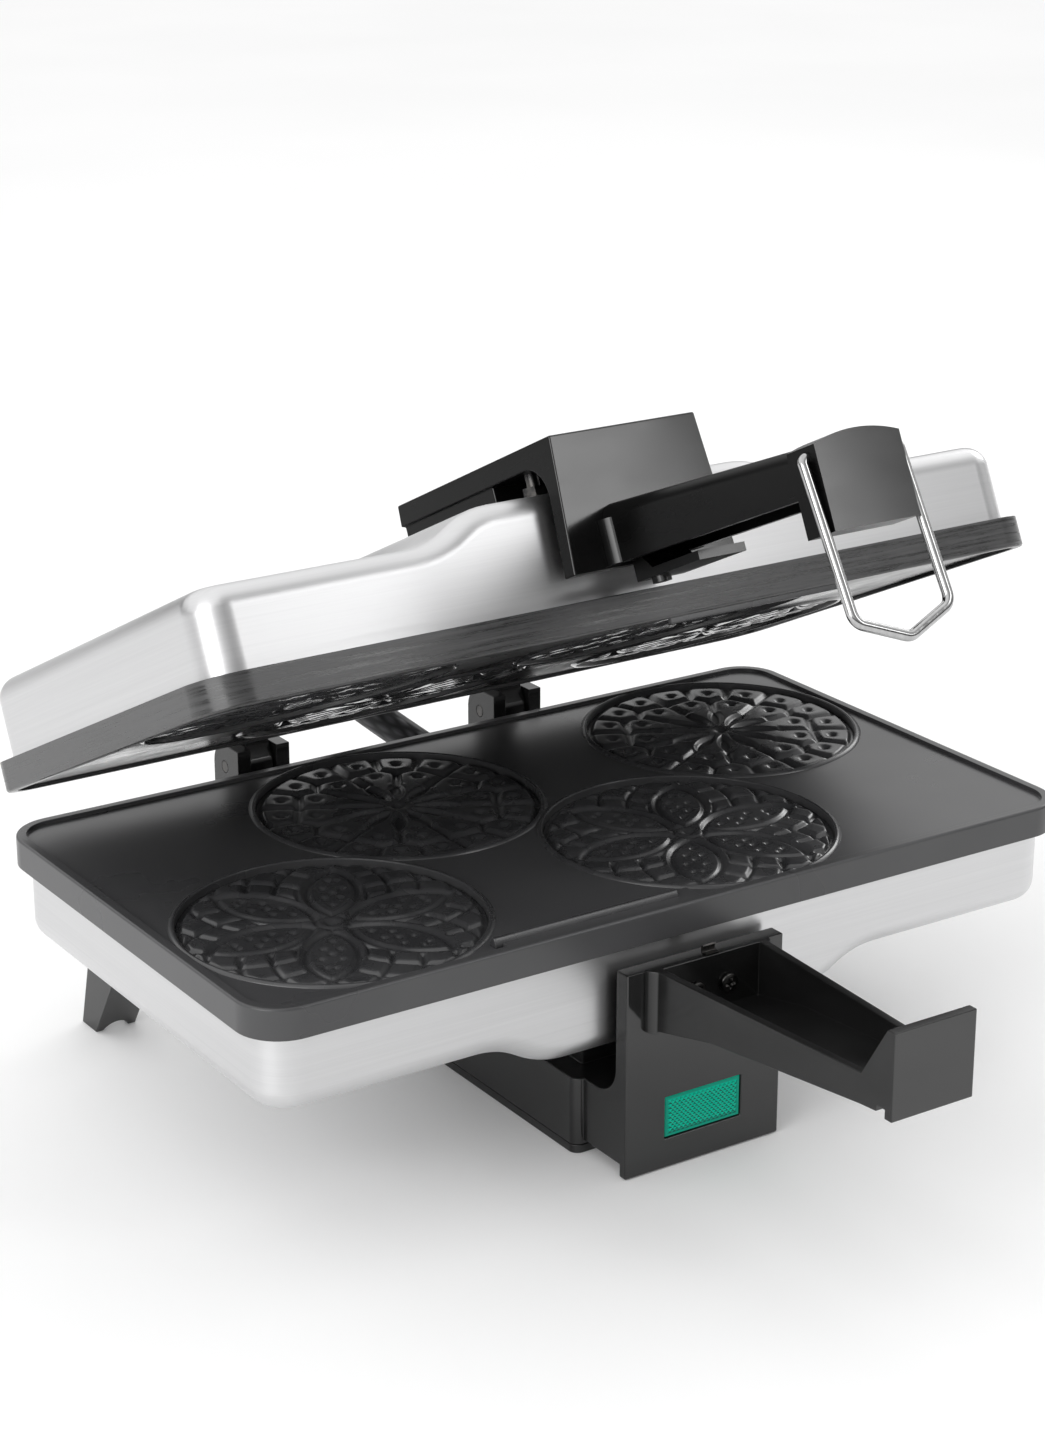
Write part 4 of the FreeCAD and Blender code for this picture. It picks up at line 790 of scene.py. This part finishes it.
def make_stud():
    """A stud with a washer and nut, between the lid's back and its housing."""
    built = bmesh.new()
    for radius, steps, foot, top in (
        (STUD_RADIUS_MM, STUD_STEPS, STUD_FOOT_MM, STUD_TOP_MM),
        (WASHER_RADIUS_MM, STUD_STEPS, STUD_FOOT_MM, STUD_FOOT_MM + WASHER_MM),
        (NUT_RADIUS_MM, NUT_SIDES, STUD_FOOT_MM + WASHER_MM, STUD_FOOT_MM + WASHER_MM + NUT_MM),
    ):
        polar_solid(built, [top, [top] * steps], radius, foot)
    place = LID_FRAME @ Matrix.Translation(Vector((STUD_X_MM, STUD_Y_MM, 0)) * MM)
    piece = new_piece("housing_stud", built, "lid", BLACKENED, place)
    piece.data.shade_flat()


CLIP_LEFT_MM = -2.0
CLIP_RIGHT_MM = 2.6
CLIP_GAUGE_MM = 0.5
CLIP_BENDS_MM = [(-88.0, 66.0), (-85.9, 66.0), (-85.4, 66.5), (-85.4, 68.3), (-86.1, 68.9)]


def make_clip():
    """A small bent spring clip on the root of the lower handle."""
    built = bmesh.new()
    bends = [Vector(bend) for bend in CLIP_BENDS_MM]
    outline = []
    for number, point in enumerate(bends):
        before = bends[max(number - 1, 0)]
        after = bends[min(number + 1, len(bends) - 1)]
        way = (after - before).normalized()
        outline.append((point, point + Vector((-way.y, way.x)) * CLIP_GAUGE_MM))
    loops = []
    for x in (CLIP_LEFT_MM, CLIP_RIGHT_MM):
        under = [built.verts.new((x * MM, p.x * MM, p.y * MM)) for p, _ in outline]
        over = [built.verts.new((x * MM, q.x * MM, q.y * MM)) for _, q in outline]
        loops.append((under, over))
    (near_under, near_over), (far_under, far_over) = loops
    for near, far in ((near_under, far_under), (near_over, far_over)):
        for k in range(len(near) - 1):
            built.faces.new((near[k], far[k], far[k + 1], near[k + 1]))
    for under, over in loops:
        for k in range(len(under) - 1):
            built.faces.new((under[k], under[k + 1], over[k + 1], over[k]))
    for k in (0, -1):
        built.faces.new((near_under[k], far_under[k], far_over[k], near_over[k]))
    piece = new_piece("root_clip", built, "base", BLACKENED)
    piece.data.shade_flat()


# Sleeved lead between the halves

SLEEVE_POINTS_MM = [(-20, 90.4, 108.95), (-20, 106.6, 101.1), (27, 106.6, 61), (27, 77.6, 61)]
SLEEVE_RADIUS_MM = 5.5
SLEEVE_ORDER = 3
SLEEVE_STEPS = 24
SLEEVE_ROUNDNESS = 8


def make_sleeve():
    """A braided tube along one smooth curve, from the lid's bush to the base's."""
    route = bpy.data.curves.new("sleeve_route", "CURVE")
    route.dimensions = "3D"
    spline = route.splines.new("NURBS")
    spline.points.add(len(SLEEVE_POINTS_MM) - 1)
    for point, place in zip(spline.points, SLEEVE_POINTS_MM):
        point.co = (*[value * MM for value in place], 1)
    spline.order_u = SLEEVE_ORDER
    spline.use_endpoint_u = True
    spline.resolution_u = SLEEVE_STEPS
    route.bevel_depth = SLEEVE_RADIUS_MM * MM
    route.bevel_resolution = SLEEVE_ROUNDNESS
    route.use_fill_caps = True
    holder = bpy.data.objects.new("sleeve_route", route)
    mesh = bpy.data.meshes.new_from_object(holder)
    bpy.data.objects.remove(holder)
    bpy.data.curves.remove(route)
    mesh.shade_smooth()
    mesh.materials.append(FINISHES["lead_sleeve"])
    piece = bpy.data.objects.new("lead_sleeve", mesh)
    bpy.context.scene.collection.objects.link(piece)
    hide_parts("jumper_lead")
    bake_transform(piece)


# Stage

def make_camera():
    data = bpy.data.cameras.new("camera")
    data.sensor_fit = "VERTICAL"
    data.sensor_height = SENSOR
    data.lens = CAMERA_LENS
    data.clip_start = NEAREST_SEEN
    camera = bpy.data.objects.new("camera", data)
    camera.location = CAMERA_PLACE
    camera.rotation_euler = Euler((math.radians(90 - CAMERA_PITCH), 0, math.radians(-CAMERA_YAW)))
    bpy.context.scene.collection.objects.link(camera)
    bpy.context.scene.camera = camera


FLOOR_HALF = 14.0


def make_floor():
    built = bmesh.new()
    corners = [(-1, -1), (1, -1), (1, 1), (-1, 1)]
    built.faces.new([built.verts.new((x * FLOOR_HALF, y * FLOOR_HALF, 0)) for x, y in corners])
    mesh = bpy.data.meshes.new("floor")
    built.to_mesh(mesh)
    built.free()
    paper = Finish("floor_paper", Roughness=0.9, Specular_IOR_Level=0.1)
    paper.colours(paper.noise(3), dark=grey(0.96), light=grey(0.98))
    mesh.materials.append(paper.material)
    floor = bpy.data.objects.new("floor", mesh)
    bpy.context.scene.collection.objects.link(floor)


ROOM_STRENGTH = 1.2
FIELD_TOWARDS = (0.35, -0.83, 0.44)
FIELD_EDGE = (0.55, 0.85)
FIELD_STRENGTH = 0.45
WALL_EDGE = (0.12, 0.3)
WALL_SHARE = 0.1


def make_world():
    """A white tent; for all but the camera it has dim low walls and one soft grey field in front."""
    world = bpy.data.worlds.new("studio")
    world.use_nodes = True
    nodes, links = world.node_tree.nodes, world.node_tree.links
    way = nodes.new("ShaderNodeTexCoord").outputs["Generated"]

    def ramp(source, span, first, last):
        made = nodes.new("ShaderNodeMapRange")
        for socket, value in zip(("From Min", "From Max", "To Min", "To Max"), (*span, first, last)):
            made.inputs[socket].default_value = value
        links.new(source, made.inputs["Value"])
        return made.outputs["Result"]

    def combined(operation, first, second):
        made = nodes.new("ShaderNodeMath")
        made.operation = operation
        links.new(first, made.inputs[0])
        links.new(second, made.inputs[1])
        return made.outputs[0]

    towards = nodes.new("ShaderNodeVectorMath")
    towards.operation = "DOT_PRODUCT"
    links.new(way, towards.inputs[0])
    towards.inputs[1].default_value = FIELD_TOWARDS
    height = nodes.new("ShaderNodeSeparateXYZ")
    links.new(way, height.inputs[0])
    field = ramp(towards.outputs["Value"], FIELD_EDGE, ROOM_STRENGTH, FIELD_STRENGTH)
    walls = ramp(height.outputs["Z"], WALL_EDGE, WALL_SHARE, 1.0)
    by_camera = nodes.new("ShaderNodeLightPath").outputs["Is Camera Ray"]
    strength = combined("MAXIMUM", combined("MULTIPLY", field, walls), by_camera)
    links.new(strength, nodes["Background"].inputs["Strength"])
    nodes["Background"].inputs["Color"].default_value = (1, 1, 1, 1)
    bpy.context.scene.world = world


def make_softbox(name, place, target, size, power):
    """An area light in a place, turned to a target; its power is in watts."""
    data = bpy.data.lights.new(name, "AREA")
    data.shape = "RECTANGLE"
    data.size, data.size_y = size
    data.energy = power
    light = bpy.data.objects.new(name, data)
    light.location = place
    light.rotation_euler = (Vector(target) - Vector(place)).to_track_quat("-Z", "Y").to_euler()
    bpy.context.scene.collection.objects.link(light)


def make_lights():
    make_softbox(
        "front_right", place=(0.805, -1.28, 1.15), target=(0, -0.1, 0.16), size=(0.42, 0.75), power=3.3)
    make_softbox(
        "right", place=(1.4, 0.43, 0.7), target=(0, 0, 0.08), size=(0.5, 0.5), power=3.0)
    make_softbox(
        "left_key", place=(-1.15, -0.45, 0.55), target=(-0.1, 0, 0.06), size=(0.8, 0.8), power=5.2)


finish_nodes()
make_moulds()
make_rib("base_rib", "base", BASE_FRAME, side=-1, outline=BASE_RIB_MM)
make_rib("lid_rib", "lid", LID_FRAME, side=1, outline=LID_RIB_MM)
make_prisms()
make_handle_screws(
    "lower_handle_cross_screws", "lower_handle_screws", "base", BASE_FRAME, LOWER_SCREW_DEPTH_MM)
make_handle_screws(
    "upper_handle_cross_screws", "upper_handle_screws", "lid", LID_FRAME, UPPER_SCREW_DEPTH_MM)
make_stud()
make_clip()
make_sleeve()
make_camera()
make_floor()
make_world()
make_lights()
bpy.context.scene.view_settings.view_transform = "Standard"
